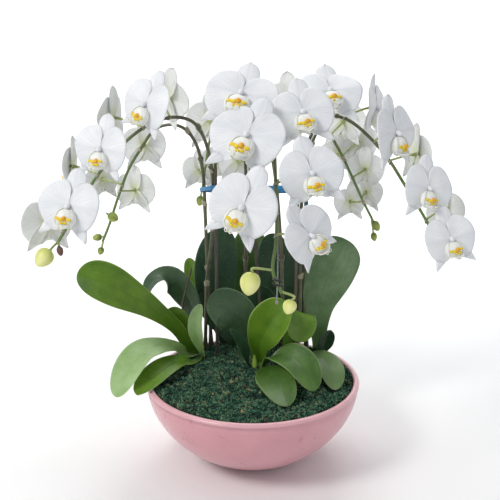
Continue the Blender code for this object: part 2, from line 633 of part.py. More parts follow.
def add_tie(finish):
    """A flat band wound once round all the stems and stakes."""
    bm = bmesh.new()
    rings = []
    front = TIE_ROUTE[0][1]
    places = [Vector((x, y, TIE_LEVEL - (y - front) * TIE_SLOPE)) for x, y in TIE_ROUTE]
    for before, place, after in zip(places[-1:] + places[:-1], places, places[1:] + places[:1]):
        ahead = (after - before).normalized()
        outwards = Vector((ahead.y, -ahead.x, 0.0)) * TIE_THICKNESS / 2
        rise = Vector((0, 0, TIE_HEIGHT / 2))
        corners = (outwards - rise, outwards + rise, rise - outwards, -outwards - rise)
        rings.append([bm.verts.new(place + corner) for corner in corners])
    for ring, following in zip(rings, rings[1:] + rings[:1]):
        for k in range(4):
            bm.faces.new((ring[k], ring[(k + 1) % 4], following[(k + 1) % 4], following[k]))
    return add_object("spike_tie", bm, finish)


# ---- Assembly -----------------------------------------------------------------------------
def main():
    for old in list(bpy.data.objects):
        bpy.data.objects.remove(old)
    finishes = make_materials()

    add_bowl(finishes["glaze"])
    medium = add_growing_medium(finishes["medium"])
    moss = add_moss(finishes["moss"])

    for name, spike in SPIKES.items():
        route, radii = add_spike(name, spike, finishes["stem"])
        cut_round_hole("hole_spike_" + name, [moss], route[0] - 0.3 * (route[1] - route[0]),
                       route[1], CROWN_RADIUS * HOLE_SLACK + 2 * GAP)
        for number, flower in enumerate(spike["flowers"], 1):
            add_flower(f"flower_{name}_{number}", flower, route, radii, finishes["petal"])

    add_front_crown(finishes["crown"])
    cut_round_hole("hole_front_crown", [moss], (*FRONT_CROWN, MEDIUM_BOTTOM),
                   (*FRONT_CROWN, FRONT_CROWN_TOP), CROWN_RADIUS * HOLE_SLACK ** 2 + 2 * GAP)
    for name, leaf in LEAVES.items():
        add_leaf("leaf_" + name, leaf, finishes["leaf"])

    for name, stake in STAKES.items():
        foot_place, top_place = add_stake(name, stake, finishes["stake"])
        below = foot_place - (top_place - foot_place) * 0.01
        cut_round_hole("hole_stake_" + name, [moss, medium], below, top_place,
                       STAKE_RADIUS * HOLE_SLACK + GAP)
    add_tie(finishes["tie"])


main()
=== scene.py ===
"""Looks of the potted moth orchid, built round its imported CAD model.

Metres, +Z up, -Y is the front. The stems' and leaves' routes are the ones that part.py holds.
"""
import math

import bpy
import numpy as np
from mathutils import Matrix, Vector, noise


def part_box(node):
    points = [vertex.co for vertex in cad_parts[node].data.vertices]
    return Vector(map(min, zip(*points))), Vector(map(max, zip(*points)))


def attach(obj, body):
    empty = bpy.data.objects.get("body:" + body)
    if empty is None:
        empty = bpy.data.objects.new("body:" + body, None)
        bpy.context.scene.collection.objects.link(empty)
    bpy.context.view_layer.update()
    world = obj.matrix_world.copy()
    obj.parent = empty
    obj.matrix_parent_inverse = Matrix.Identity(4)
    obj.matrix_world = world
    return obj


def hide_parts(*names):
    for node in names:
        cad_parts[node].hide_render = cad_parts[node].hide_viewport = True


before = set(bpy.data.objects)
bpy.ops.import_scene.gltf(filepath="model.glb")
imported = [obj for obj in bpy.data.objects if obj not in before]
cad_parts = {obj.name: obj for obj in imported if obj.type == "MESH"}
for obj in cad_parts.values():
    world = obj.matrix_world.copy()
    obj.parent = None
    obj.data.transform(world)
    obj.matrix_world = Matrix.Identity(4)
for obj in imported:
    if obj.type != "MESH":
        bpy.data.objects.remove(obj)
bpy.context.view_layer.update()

SEED = 41
GAP = 0.0003                 # between pieces that touch

# ---- Bowl and moss ------------------------------------------------------------------------
BOWL_RADIUS = 0.158
BOWL_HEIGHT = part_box("bowl")[1][2]
BOWL_FOOT_RADIUS = 0.042
FOOT_ROUND = 0.0015
BOWL_ROUNDNESS = 1 / 1.4     # the power that the wall's outline follows
BOWL_WALL = 0.006
BOWL_FOOT_EXTRA = 0.003      # how much thicker the wall is at its foot
BOWL_FLOOR = 0.012
BOWL_LIP = 0.0035            # the radius of the rolled lip
LIP_SPREAD = 1.3             # how much wider than high the lip's roll is

MEDIUM_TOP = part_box("growing_medium")[1][2]
MOSS_MIDDLE_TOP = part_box("moss")[1][2]
MOSS_EDGE_TOP = 0.1240
MOSS_EDGE = 0.145            # how far out the edge's height is reached
MOSS_RADIUS = 0.1465
MOSS_REACH = 0.1490          # how far out the sprigs grow
MOSS_LUMPS = 0.0034
LUMP_SCALES = (60, 130)      # how many lumps there are to a metre, of the large and small ones
SPRIG_SUNK = 0.0008          # how far below the bed's top a sprig's foot is
SPRIG_LEAN = (0.25, 1.25)    # from the upright, in radians
SPRIG_LENGTH = (0.0022, 0.0052)
SPRIG_WIDTH = (0.0005, 0.0011)
SPRIG_KNEE = 0.55            # where along its length a blade bends
BIT_RADIUS = (0.0010, 0.0026)
BIT_RISE = 0.0022            # how far chips and scraps lie above the moss's bed

# ---- Plant --------------------------------------------------------------------------------
STEM_BASE_RADIUS = 0.0030
STEM_TIP_RADIUS = 0.0020
CROWN_RADIUS = 0.006
CROWN_FADE = 0.050           # the height over which a crown thins into its stem
FRONT_CROWN_RADIUS = 0.0065
NODE_SWELL = 0.22            # how much thicker than itself the stem is at a node
NODE_BRACT = 0.011           # the lengths of the bracts at nodes and under flowers
FLOWER_BRACT = 0.005
BRACT_SPREAD = math.radians(150)
BRACT_THICKNESS = 0.0004
PEDICEL_RADIUS = 0.0016
STAKE_RADIUS = 0.0026
PETAL_THICKNESS = 0.0009
RIPE_BUD = 0.017             # buds wider than this have turned pale yellow
DRY_BUD = 0.010              # buds narrower than this have dried
BUD_BEND = 0.005             # how far from its bud a stalk bends
BUD_SEAM = 0.07              # how deep a bud's seams are, as a share of its radius
BUD_ENDS = (0.14, 0.10)      # the radii of a bud's base and tip, as shares of its widest

ROOT_DEPTH = 0.010           # how far below the moss's top a leaf starts
LEAF_THICKNESS = 0.0019      # at the midrib's foot
LEAF_EDGE_THINNING = 0.0012  # how much thinner the edge is than the midrib
LEAF_TIP_THINNING = 0.0004
# The next four are shares of the leaf's half width.
LEAF_FOOT_SHARE = 0.30       # how wide its foot is
LEAF_WAVE = 0.035            # how high its edges wave
LEAF_RIB = 0.020             # how deep the midrib is sunk
RIB_WIDTH = 0.05
LEAF_WAVES = 9               # how far each edge's wave turns along the leaf, in radians
LEAF_WAVE_SHIFT = 1.7        # how far one edge's wave is ahead of the other's, in radians
ROW_CROWDING = 1.6           # how closely a leaf's rows crowd towards its tip

# ---- Flower spikes ------------------------------------------------------------------------
# points: the stem's route from the crown to its tip.
# buds: where each bud's tip and base are, and its diameter.
# flowers: the middle of each flower, then the way it faces as yaw (0 is the front, + is towards
# +X), pitch (+ is up) and roll (+ is clockwise as seen by someone facing it), then its width.
# hidden: small flowers behind the others, which stand for no CAD node, on the spikes that have any.
SPIKES = {
    "left_front": {
        "points": [(-0.078, 0.105, 0.105), (-0.075, 0.100, 0.180), (-0.072, 0.100, 0.250),
                   (-0.063, 0.095, 0.320), (-0.060, 0.087, 0.395), (-0.066, 0.070, 0.455),
                   (-0.083, 0.055, 0.495), (-0.111, 0.035, 0.507), (-0.142, 0.010, 0.500),
                   (-0.172, -0.010, 0.480), (-0.202, -0.025, 0.447), (-0.225, -0.035, 0.415),
                   (-0.249, -0.048, 0.373), (-0.266, -0.058, 0.345)],
        "buds": [((-0.293, -0.068, 0.316), (-0.275, -0.061, 0.337), 0.025),
                 ((-0.258, -0.072, 0.331), (-0.262, -0.065, 0.343), 0.009)],
        "flowers": [((-0.122, 0.065, 0.535), 142, 10, -28, 0.076),
                    ((-0.142, -0.035, 0.530), -32, 14, 16, 0.077),
                    ((-0.204, 0.045, 0.506), -108, 0, 0, 0.072),
                    ((-0.199, -0.065, 0.475), -18, 12, 7, 0.075),
                    ((-0.260, 0.020, 0.439), -95, 0, 0, 0.070),
                    ((-0.239, -0.090, 0.404), -10, 20, 8, 0.083),
                    ((-0.287, -0.025, 0.368), -145, 0, 0, 0.074)],
    },
    "left_back": {
        "points": [(-0.068, 0.122, 0.105), (-0.070, 0.122, 0.190), (-0.073, 0.122, 0.273),
                   (-0.075, 0.120, 0.355), (-0.077, 0.120, 0.411), (-0.086, 0.125, 0.454),
                   (-0.104, 0.130, 0.480), (-0.128, 0.135, 0.487), (-0.154, 0.140, 0.478),
                   (-0.176, 0.143, 0.449), (-0.198, 0.147, 0.414), (-0.218, 0.150, 0.366),
                   (-0.233, 0.153, 0.325), (-0.246, 0.155, 0.295)],
        "buds": [((-0.218, 0.146, 0.333), (-0.234, 0.155, 0.340), 0.016),
                 ((-0.263, 0.157, 0.300), (-0.247, 0.155, 0.303), 0.012),
                 ((-0.252, 0.156, 0.272), (-0.248, 0.155, 0.285), 0.011)],
        "flowers": [((-0.177, 0.185, 0.450), -165, 0, 0, 0.072),
                    ((-0.193, 0.184, 0.376), 170, 0, 0, 0.067),
                    ((-0.244, 0.160, 0.398), -135, 0, 0, 0.062)],
    },
    "centre": {
        "points": [(0.050, 0.100, 0.105), (0.048, 0.100, 0.210), (0.045, 0.100, 0.295),
                   (0.037, 0.090, 0.392), (0.028, 0.070, 0.455), (0.022, 0.035, 0.500),
                   (0.021, -0.005, 0.520), (0.024, -0.045, 0.508), (0.027, -0.085, 0.478),
                   (0.028, -0.115, 0.442), (0.029, -0.140, 0.405), (0.028, -0.155, 0.370),
                   (0.024, -0.165, 0.338), (0.035, -0.172, 0.310)],
        "buds": [((-0.007, -0.172, 0.308), (-0.001, -0.170, 0.337), 0.0255),
                 ((0.041, -0.176, 0.285), (0.048, -0.172, 0.302), 0.0175)],
        "flowers": [((-0.015, -0.055, 0.544), 0, 42, 16, 0.096),
                    ((0.055, 0.050, 0.523), 155, 5, 0, 0.078),
                    ((-0.007, -0.120, 0.498), -10, 34, 15, 0.095),
                    ((0.063, -0.075, 0.523), 3, 30, -8, 0.082),
                    ((0.070, -0.150, 0.456), 5, 22, -10, 0.079),
                    ((-0.012, -0.190, 0.423), -12, 14, 23, 0.083),
                    ((0.066, -0.190, 0.389), 34, 6, -38, 0.071)],
    },
    "right_back": {
        "points": [(0.089, 0.103, 0.105), (0.086, 0.122, 0.204), (0.085, 0.130, 0.287),
                   (0.085, 0.135, 0.368), (0.089, 0.140, 0.431), (0.099, 0.145, 0.470),
                   (0.116, 0.150, 0.476), (0.135, 0.155, 0.450), (0.157, 0.160, 0.409),
                   (0.179, 0.165, 0.364), (0.197, 0.165, 0.330)],
        "buds": [((0.208, 0.163, 0.311), (0.199, 0.164, 0.327), 0.014),
                 ((0.203, 0.168, 0.292), (0.200, 0.167, 0.307), 0.011)],
        "flowers": [((0.148, 0.185, 0.488), 165, 0, 0, 0.070),
                    ((0.176, 0.207, 0.452), 150, 0, 0, 0.068),
                    ((0.186, 0.186, 0.410), 165, 0, 0, 0.062)],
        "hidden": [((0.142, 0.206, 0.432), -170, 0, 0, 0.062),
                   ((0.192, 0.205, 0.368), 150, 0, 0, 0.058),
                   ((0.162, 0.190, 0.355), -165, 0, 0, 0.056)],
    },
    "right_front": {
        "points": [(0.071, 0.097, 0.105), (0.076, 0.101, 0.195), (0.076, 0.100, 0.262),
                   (0.075, 0.095, 0.344), (0.078, 0.080, 0.432), (0.088, 0.065, 0.483),
                   (0.108, 0.047, 0.507), (0.134, 0.025, 0.504), (0.160, 0.005, 0.484),
                   (0.186, -0.013, 0.455), (0.208, -0.026, 0.421), (0.230, -0.038, 0.386),
                   (0.246, -0.045, 0.358)],
        "buds": [((0.256, -0.046, 0.333), (0.250, -0.045, 0.348), 0.011)],
        "flowers": [((0.105, 0.002, 0.545), 5, 46, 0, 0.090),
                    ((0.176, 0.045, 0.520), 64, 0, 0, 0.076),
                    ((0.192, -0.030, 0.492), 45, 8, -4, 0.084),
                    ((0.235, 0.022, 0.456), 108, 0, 0, 0.071),
                    ((0.232, -0.066, 0.423), 22, 14, 8, 0.073),
                    ((0.274, 0.005, 0.379), 128, 0, 0, 0.068),
                    ((0.259, -0.090, 0.360), 10, 18, -12, 0.071)],
    },
    "back": {
        "points": [(-0.015, 0.135, 0.105), (-0.012, 0.150, 0.195), (-0.011, 0.155, 0.280),
                   (-0.010, 0.160, 0.380), (-0.014, 0.170, 0.450), (-0.025, 0.185, 0.488),
                   (-0.041, 0.197, 0.498), (-0.058, 0.208, 0.487), (-0.071, 0.216, 0.454),
                   (-0.080, 0.221, 0.404), (-0.086, 0.224, 0.365)],
        "buds": [((-0.091, 0.226, 0.340), (-0.088, 0.225, 0.358), 0.014)],
        "flowers": [((-0.073, 0.242, 0.483), -170, 0, 0, 0.080)],
        "hidden": [((-0.024, 0.222, 0.418), 170, 0, 0, 0.070),
                   ((-0.060, 0.248, 0.412), -165, 0, 0, 0.066),
                   ((-0.092, 0.252, 0.398), 175, 0, 0, 0.060)],
    },
}

# ---- Leaves -------------------------------------------------------------------------------
def leaf(tone, width, face, points, fold=0.20, broad_at=0.60, waist=1.0):
    """One leaf.

    tone: which green it is. width: the widest place. face: the ways the upper side looks, from
    the base to the tip. points: the midrib's route from base to tip. fold: how deep the channel
    is, as a share of the half width. broad_at: where along its length it is widest. waist: how
    much it narrows before that.
    """
    return {"tone": tone, "width": width, "face": face, "points": points, "fold": fold,
            "broad_at": broad_at, "waist": waist}


LEAVES = {
    "left_broad": leaf("bright", 0.067, fold=0.16, broad_at=0.78, waist=2.0,
        face=[(-0.3, -0.8, 0.5), (0.1, -0.6, 0.8)],
        points=[(-0.098, 0.074, 0.140), (-0.118, 0.058, 0.180), (-0.150, 0.035, 0.218),
                (-0.185, 0.012, 0.250), (-0.219, -0.003, 0.273), (-0.253, -0.012, 0.286)]),
    "left_arched": leaf("blue", 0.042, fold=0.14, broad_at=0.36,
        face=[(-0.4, -0.85, 0.3), (-0.4, -0.85, 0.35), (-0.35, -0.75, 0.6), (-0.5, -0.5, 0.7),
              (-0.85, -0.4, 0.3)],
        points=[(-0.101, 0.112, 0.140), (-0.097, 0.111, 0.172), (-0.099, 0.110, 0.200),
                (-0.112, 0.107, 0.226), (-0.127, 0.100, 0.245), (-0.143, 0.090, 0.254),
                (-0.155, 0.079, 0.251), (-0.162, 0.070, 0.240), (-0.164, 0.064, 0.224)]),
    "left_small": leaf("bright", 0.034, fold=0.25,
        face=[(-0.4, -0.9, 0.0), (-0.3, -0.9, 0.2)],
        points=[(-0.095, 0.140, 0.138), (-0.092, 0.152, 0.175), (-0.091, 0.160, 0.205),
                (-0.098, 0.166, 0.235), (-0.107, 0.170, 0.263)]),
    # Its pale tone is painted sheen, a painted reflection of the sky on the drooping blade.
    "left_pale": leaf("pale", 0.053, broad_at=0.68,
        face=[(-0.3, -0.6, 0.8), (-0.3, -0.6, 0.7)],
        points=[(-0.100, 0.056, 0.136), (-0.121, 0.040, 0.156), (-0.145, 0.020, 0.164),
                (-0.165, -0.002, 0.162), (-0.180, -0.031, 0.148), (-0.194, -0.063, 0.120)]),
    "left_low": leaf("bright", 0.045, fold=0.28,
        face=[(-0.2, -0.5, 0.9), (-0.2, -0.5, 0.9)],
        points=[(-0.090, 0.038, 0.132), (-0.113, 0.016, 0.140), (-0.139, -0.022, 0.138),
                (-0.165, -0.064, 0.124)]),
    # Its pale tone is a painted highlight on its upper part, over a deep green foot.
    "left_short": leaf("pale", 0.025, fold=0.35, broad_at=0.50,
        face=[(-0.5, -0.9, 0.2), (-0.3, -0.9, 0.2)],
        points=[(-0.077, 0.058, 0.134), (-0.085, 0.051, 0.165), (-0.087, 0.048, 0.194),
                (-0.079, 0.047, 0.223)]),
    "back_left": leaf("dark", 0.070,
        face=[(0.1, -1.0, 0.1), (0.1, -1.0, 0.2)],
        points=[(-0.046, 0.130, 0.136), (-0.060, 0.138, 0.195), (-0.060, 0.147, 0.261),
                (-0.047, 0.160, 0.318)]),
    "back_middle": leaf("middle", 0.066,
        face=[(0.0, -1.0, 0.1), (0.0, -1.0, 0.2)],
        points=[(-0.022, 0.172, 0.128), (-0.016, 0.180, 0.189), (-0.008, 0.190, 0.253),
                (0.000, 0.205, 0.312)]),
    "back_right": leaf("dark", 0.062,
        face=[(-0.1, -1.0, 0.1), (-0.1, -1.0, 0.2)],
        points=[(0.048, 0.130, 0.135), (0.045, 0.140, 0.197), (0.040, 0.150, 0.257),
                (0.030, 0.165, 0.306)]),
    "right_tall": leaf("grey", 0.078, fold=0.22, broad_at=0.68, waist=1.3,
        face=[(0.1, -1.0, 0.2), (-0.1, -0.9, 0.4)],
        points=[(0.107, 0.086, 0.134), (0.106, 0.094, 0.170), (0.108, 0.102, 0.210),
                (0.122, 0.112, 0.250), (0.139, 0.122, 0.283), (0.152, 0.130, 0.304)]),
    "right_small": leaf("dark", 0.026, fold=0.30, broad_at=0.45,
        face=[(0.3, -0.9, 0.3), (0.3, -0.9, 0.3)],
        points=[(0.107, 0.068, 0.132), (0.115, 0.065, 0.157), (0.122, 0.062, 0.175)]),
    "middle_round": leaf("blue", 0.064, fold=0.14, broad_at=0.64,
        face=[(0.0, -1.0, 0.3), (-0.1, -0.9, 0.5)],
        points=[(-0.012, 0.046, 0.136), (-0.011, 0.045, 0.172), (-0.021, 0.041, 0.202),
                (-0.043, 0.035, 0.221), (-0.069, 0.030, 0.229)]),
    "front_upright": leaf("bright", 0.060, fold=0.42, broad_at=0.56,
        face=[(-0.4, -0.9, 0.2), (-0.2, -0.9, 0.45)],
        points=[(0.011, 0.032, 0.134), (0.012, 0.024, 0.168), (0.023, 0.014, 0.198),
                (0.039, 0.004, 0.222), (0.055, -0.004, 0.239)]),
    "front_curled": leaf("bright", 0.050, broad_at=0.72,
        face=[(0.1, 1.0, 0.1), (0.35, 0.8, 0.6), (0.6, 0.2, 1.0), (0.4, -0.6, 0.8),
              (0.2, -0.95, 0.3)],
        points=[(0.054, 0.076, 0.134), (0.059, 0.071, 0.175), (0.065, 0.056, 0.204),
                (0.070, 0.034, 0.214), (0.071, 0.014, 0.201), (0.069, 0.002, 0.178)]),
    "front_right": leaf("middle", 0.056, fold=0.28, broad_at=0.55,
        face=[(0.1, -0.4, 0.9), (0.3, -0.6, 0.7)],
        points=[(0.018, 0.012, 0.137), (0.032, -0.010, 0.162), (0.052, -0.034, 0.169),
                (0.070, -0.058, 0.162), (0.085, -0.083, 0.139)]),
    "front_low": leaf("middle", 0.050, fold=0.22, broad_at=0.55,
        face=[(-0.1, -0.5, 0.9), (-0.1, -0.6, 0.8)],
        points=[(0.010, 0.000, 0.134), (0.022, -0.032, 0.143), (0.036, -0.070, 0.141),
                (0.048, -0.112, 0.130)]),
    "front_narrow": leaf("dark", 0.015, fold=0.40, broad_at=0.40,
        face=[(0.3, -0.9, 0.3), (0.3, -0.9, 0.3)],
        points=[(-0.007, 0.018, 0.138), (-0.012, 0.012, 0.160), (-0.021, 0.006, 0.182),
                (-0.033, 0.000, 0.200)]),
    "right_low": leaf("soft", 0.044, fold=0.22, broad_at=0.55,
        face=[(0.2, -0.4, 0.9), (0.3, -0.6, 0.8)],
        points=[(0.080, 0.054, 0.134), (0.100, 0.019, 0.151), (0.112, -0.021, 0.147),
                (0.117, -0.058, 0.129)]),
}

# Leaves behind the others, which stand for no CAD node.
LEAVES_BEHIND = {
    "far_right": leaf("dark", 0.060,
        face=[(0.0, -1.0, 0.1), (0.0, -1.0, 0.2)],
        points=[(0.074, 0.150, 0.132), (0.078, 0.158, 0.200), (0.078, 0.168, 0.262),
                (0.070, 0.180, 0.312)]),
    "inner_left": leaf("dark", 0.050, broad_at=0.50,
        face=[(0.0, -1.0, 0.2), (0.0, -1.0, 0.3)],
        points=[(-0.030, 0.112, 0.132), (-0.046, 0.119, 0.165), (-0.064, 0.126, 0.195),
                (-0.084, 0.130, 0.216)]),
    "inner_right": leaf("dark", 0.054, broad_at=0.50,
        face=[(0.0, -1.0, 0.2), (0.0, -1.0, 0.3)],
        points=[(0.038, 0.116, 0.132), (0.028, 0.122, 0.165), (0.014, 0.128, 0.200),
                (0.004, 0.133, 0.226)]),
    "left_under": leaf("bright", 0.034, fold=0.25,
        face=[(-0.2, -0.9, 0.4), (-0.2, -0.8, 0.6)],
        points=[(-0.096, 0.090, 0.134), (-0.106, 0.082, 0.163), (-0.119, 0.072, 0.190),
                (-0.135, 0.060, 0.207)]),
}

# Where each plant stands in the bowl, in plan. Its leaves grow from there.
CROWNS = [(-0.078, 0.098), (-0.020, 0.140), (0.050, 0.105), (0.089, 0.098), (0.004, 0.022)]

# Each stake's foot and top, as places in plan.
STAKES = {
    "left": ((-0.056, 0.070), (-0.056, 0.0785)),
    "middle": ((0.022, 0.112), (-0.006, 0.118)),
    "right": ((0.067, 0.084), (0.069, 0.079)),
}

# The tie's route round the outside of the stems and stakes, seen in plan.
TIE_ROUTE = [(-0.0565, 0.0727), (0.006, 0.0745), (0.069, 0.0740), (0.083, 0.081), (0.0925, 0.110),
             (0.0915, 0.140), (0.080, 0.1455), (0.035, 0.158), (-0.010, 0.1665), (-0.045, 0.151),
             (-0.079, 0.1245), (-0.0795, 0.112), (-0.066, 0.085)]
TIE_HEIGHT = 0.0065
TIE_THICKNESS = 0.0009
TIE_SLOPE = 0.25             # how far it drops towards the back, for each metre of the way
TIE_KNOT = (0.075, 0.0738)
KNOT_RADII = (0.0045, 0.0030, 0.0042)
TIE_TAIL = [(0.005, -0.003, -0.010), (0.007, -0.004, -0.031)]    # from the knot
TAIL_RADIUS = 0.0034

OLD_STEM_ROUTE = [(-0.098, 0.092, 0.118), (-0.108, 0.085, 0.174), (-0.110, 0.083, 0.212),
                  (-0.095, 0.083, 0.270)]
OLD_STEM_RADII = (0.0016, 0.0010)      # along it, and at its tip

# The wire at the drooping tip of the centre stem, and the clip wound round both.
WIRE_ROUTE = [(0.0300, -0.146, 0.384), (0.0300, -0.164, 0.345), (0.0295, -0.171, 0.322),
              (0.0290, -0.172, 0.301)]
CLIP_ROUTE = [(0.024, -0.166, 0.3275), (0.029, -0.1765, 0.3285), (0.035, -0.170, 0.3265),
              (0.0295, -0.164, 0.3250), (0.024, -0.171, 0.3235), (0.030, -0.177, 0.3225),
              (0.036, -0.171, 0.3205)]
WIRE_RADIUS = 0.0009
WIRE_BEAD = (0.029, -0.172, 0.299)
BEAD_RADII = (0.0022, 0.0022, 0.0026)
CLIP_RADIUS = 0.0013

# ---- Camera and lights --------------------------------------------------------------------
CAMERA_PLACE = (-0.004, -1.072, 0.600)
CAMERA_TILT = 75.4           # degrees up from straight down
CAMERA_LENS = 55.4           # in millimetres, as the sensor's width is
CAMERA_SENSOR = 36.0
WORLD_COLOUR = (0.95, 0.97, 1.0, 1.0)
WORLD_STRENGTH = 0.52
# Each light: its name, place, target, diameter, watts and colour.
PLANT_MIDDLE = (0.0, 0.0, 0.35)
LIGHTS = [("key", (-1.6, -1.3, 2.0), PLANT_MIDDLE, 0.8, 33.0, (1.0, 0.985, 0.96)),
          ("fill", (1.9, -1.3, 1.1), PLANT_MIDDLE, 1.4, 2.0, (0.94, 0.97, 1.0)),
          ("rim", (0.4, 1.9, 1.8), PLANT_MIDDLE, 1.2, 8.0, (1.0, 1.0, 1.0)),
          ("backdrop", (0.0, 2.2, 3.4), (0.0, 4.6, 0.8), 3.0, 150.0, (1.0, 1.0, 1.0))]


# ---- Material tools -----------------------------------------------------------------------
class Finish:
    """One node material, with short calls for the nodes that it needs."""

    def __init__(self, name, **settings):
        self.material = bpy.data.materials.new(name)
        self.material.use_nodes = True
        self.tree = self.material.node_tree
        self.shader = self.tree.nodes["Principled BSDF"]
        self.shader.inputs["Subsurface Radius"].default_value = (1.0, 1.0, 1.0)
        for socket, value in settings.items():
            self.shader.inputs[socket.replace("_", " ")].default_value = value

    def node(self, kind, **inputs):
        """A new node, with its inputs set to values or fed by other nodes."""
        made = self.tree.nodes.new(kind)
        for socket, value in inputs.items():
            self.feed(made.inputs[socket.replace("_", " ")], value)
        return made

    def feed(self, socket, value):
        if isinstance(value, bpy.types.NodeSocket):
            self.tree.links.new(value, socket)
        else:
            socket.default_value = value

    def places(self, scale=(1, 1, 1)):
        """Where a point is on the object, in metres times the scale."""
        source = self.node("ShaderNodeTexCoord").outputs["Object"]
        return self.node("ShaderNodeMapping", Vector=source, Scale=scale).outputs[0]

    def marks(self, scale=(1, 1, 1)):
        """How far along a blade or tube a point is, and how far across."""
        source = self.node("ShaderNodeUVMap")
        source.uv_map = "marks"
        return self.node("ShaderNodeMapping", Vector=source.outputs[0], Scale=scale).outputs[0]

    def across(self):
        """0 on the midrib and 1 at the edge of a blade."""
        split = self.node("ShaderNodeSeparateXYZ", Vector=self.marks())
        return self.maths("ABSOLUTE", self.maths("MULTIPLY_ADD", split.outputs[1], 2.0, -1.0))

    def along(self):
        """0 at the foot of a blade or tube and 1 at its tip."""
        return self.node("ShaderNodeSeparateXYZ", Vector=self.marks()).outputs[0]

    def maths(self, operation, *values):
        made = self.node("ShaderNodeMath")
        made.operation = operation
        for socket, value in zip(made.inputs, values):
            self.feed(socket, value)
        return made.outputs[0]

    def noise(self, where, scale, detail=3.0, roughness=0.5):
        return self.node("ShaderNodeTexNoise", Vector=where, Scale=scale, Detail=detail,
                         Roughness=roughness).outputs["Fac"]

    def grain(self, scale, detail=3.0, roughness=0.5):
        """Noise in space, with about this many lumps to a metre."""
        return self.noise(self.places(), scale, detail, roughness)

    def ramp(self, value, *stops):
        """Colours or greys at the stops, blended between them."""
        made = self.node("ShaderNodeValToRGB", Fac=value)
        elements = made.color_ramp.elements
        while len(elements) < len(stops):
            elements.new(0.5)
        for element, (place, colour) in zip(elements, stops):
            element.position = place
            element.color = (*(colour if isinstance(colour, tuple) else (colour,) * 3), 1.0)
        return made.outputs[0]

    def mix(self, share, first, second, blend="MIX"):
        """The first colour, with a share of the second blended in."""
        made = self.tree.nodes.new("ShaderNodeMix")
        made.data_type = "RGBA"
        made.blend_type = blend
        # A Mix node's inputs 0, 6 and 7 are its share and its two colours.
        for index, value in ((0, share), (6, first), (7, second)):
            if isinstance(value, tuple):
                value = (*value, 1.0)
            self.feed(made.inputs[index], value)
        return made.outputs[2]

    def colour(self, value):
        self.feed(self.shader.inputs["Base Color"], value)

    def roughness(self, value):
        self.feed(self.shader.inputs["Roughness"], value)

    def bump(self, height, distance, strength=1.0):
        made = self.node("ShaderNodeBump", Height=height, Distance=distance, Strength=strength)
        self.feed(self.shader.inputs["Normal"], made.outputs[0])


# ---- Materials ----------------------------------------------------------------------------
# How fine the veins' noise is along and across a blade.
PETAL_VEINS = (1.2, 42.0, 1.0)
LEAF_VEINS = (2.0, 34.0, 1.0)


def petal_finish(name, white, shade):
    """Soft white tissue with fine veins that fan out from the claw."""
    made = Finish(name, Subsurface_Weight=0.25, Subsurface_Scale=0.004, IOR=1.40,
                  Sheen_Weight=0.08)
    veins = made.noise(made.marks(PETAL_VEINS), 1.0, 2.0)
    cells = made.grain(900.0, 1.0)
    clouds = made.grain(38.0, 2.0)
    tone = made.ramp(veins, (0.30, shade), (0.62, white))
    soft = made.ramp(clouds, (0.25, shade), (0.70, white))
    # Painted shade: along the midrib the colour darkens to the shade colour, standing in for the
    # shade that falls in the petal's crease.
    crease = made.ramp(made.across(), (0.0, 0.55), (0.16, 0.0))
    made.colour(made.mix(crease, made.mix(0.45, soft, tone), shade))
    made.roughness(made.ramp(cells, (0.3, 0.42), (0.7, 0.58)))
    made.bump(made.maths("MULTIPLY_ADD", cells, 0.15, veins), 0.00035, 0.5)
    return made.material


def petal_back_finish():
    """The back of a petal: duller, with a green-yellow heart near the stalk."""
    made = Finish("petal_back", Subsurface_Weight=0.25, Subsurface_Scale=0.004, IOR=1.40)
    veins = made.noise(made.marks(PETAL_VEINS), 1.0, 2.0)
    tone = made.ramp(veins, (0.30, (0.72, 0.74, 0.72)), (0.65, (0.84, 0.85, 0.84)))
    heart = made.ramp(made.along(), (0.08, 0.70), (0.45, 0.0))
    made.colour(made.mix(heart, tone, (0.70, 0.74, 0.42)))
    made.roughness(0.55)
    made.bump(veins, 0.0004, 0.6)
    return made.material


def lip_finish(name, flush):
    """White lip tissue with a yellow flush at its heart and fine red-brown dots in it."""
    made = Finish(name, Subsurface_Weight=0.25, Subsurface_Scale=0.003, IOR=1.40)
    along = made.along()
    mottle = made.grain(260.0, 2.0)
    base = made.ramp(mottle, (0.35, (0.80, 0.82, 0.77)), (0.65, (0.90, 0.91, 0.89)))
    rim = made.ramp(along, (0.88, 0.0), (1.0, 0.5 * flush))
    edged = made.mix(rim, base, (0.84, 0.82, 0.58))
    heart = made.maths("MULTIPLY", made.ramp(along, (0.30, flush), (0.62, 0.0)),
                       made.ramp(mottle, (0.38, 0.3), (0.60, 1.0)))
    warm = made.mix(heart, edged, (0.84, 0.74, 0.20))
    dots = made.ramp(made.grain(900.0, 1.0), (0.64, 0.0), (0.68, 0.6))
    made.colour(made.mix(made.maths("MULTIPLY", dots, heart), warm, (0.50, 0.16, 0.06)))
    made.roughness(0.42)
    made.bump(mottle, 0.0003, 0.5)
    return made.material


def callus_finish(name, light, deep):
    """Waxy yellow callus with fine red-brown dots."""
    made = Finish(name, Subsurface_Weight=0.2, Subsurface_Scale=0.002, Coat_Weight=0.2)
    grain = made.grain(500.0, 2.0)
    gold = made.ramp(grain, (0.35, deep), (0.65, light))
    dots = made.ramp(made.grain(1100.0, 1.0), (0.68, 0.0), (0.72, 0.6))
    made.colour(made.mix(dots, gold, (0.45, 0.12, 0.02)))
    made.roughness(0.38)
    made.bump(grain, 0.0003, 0.6)
    return made.material


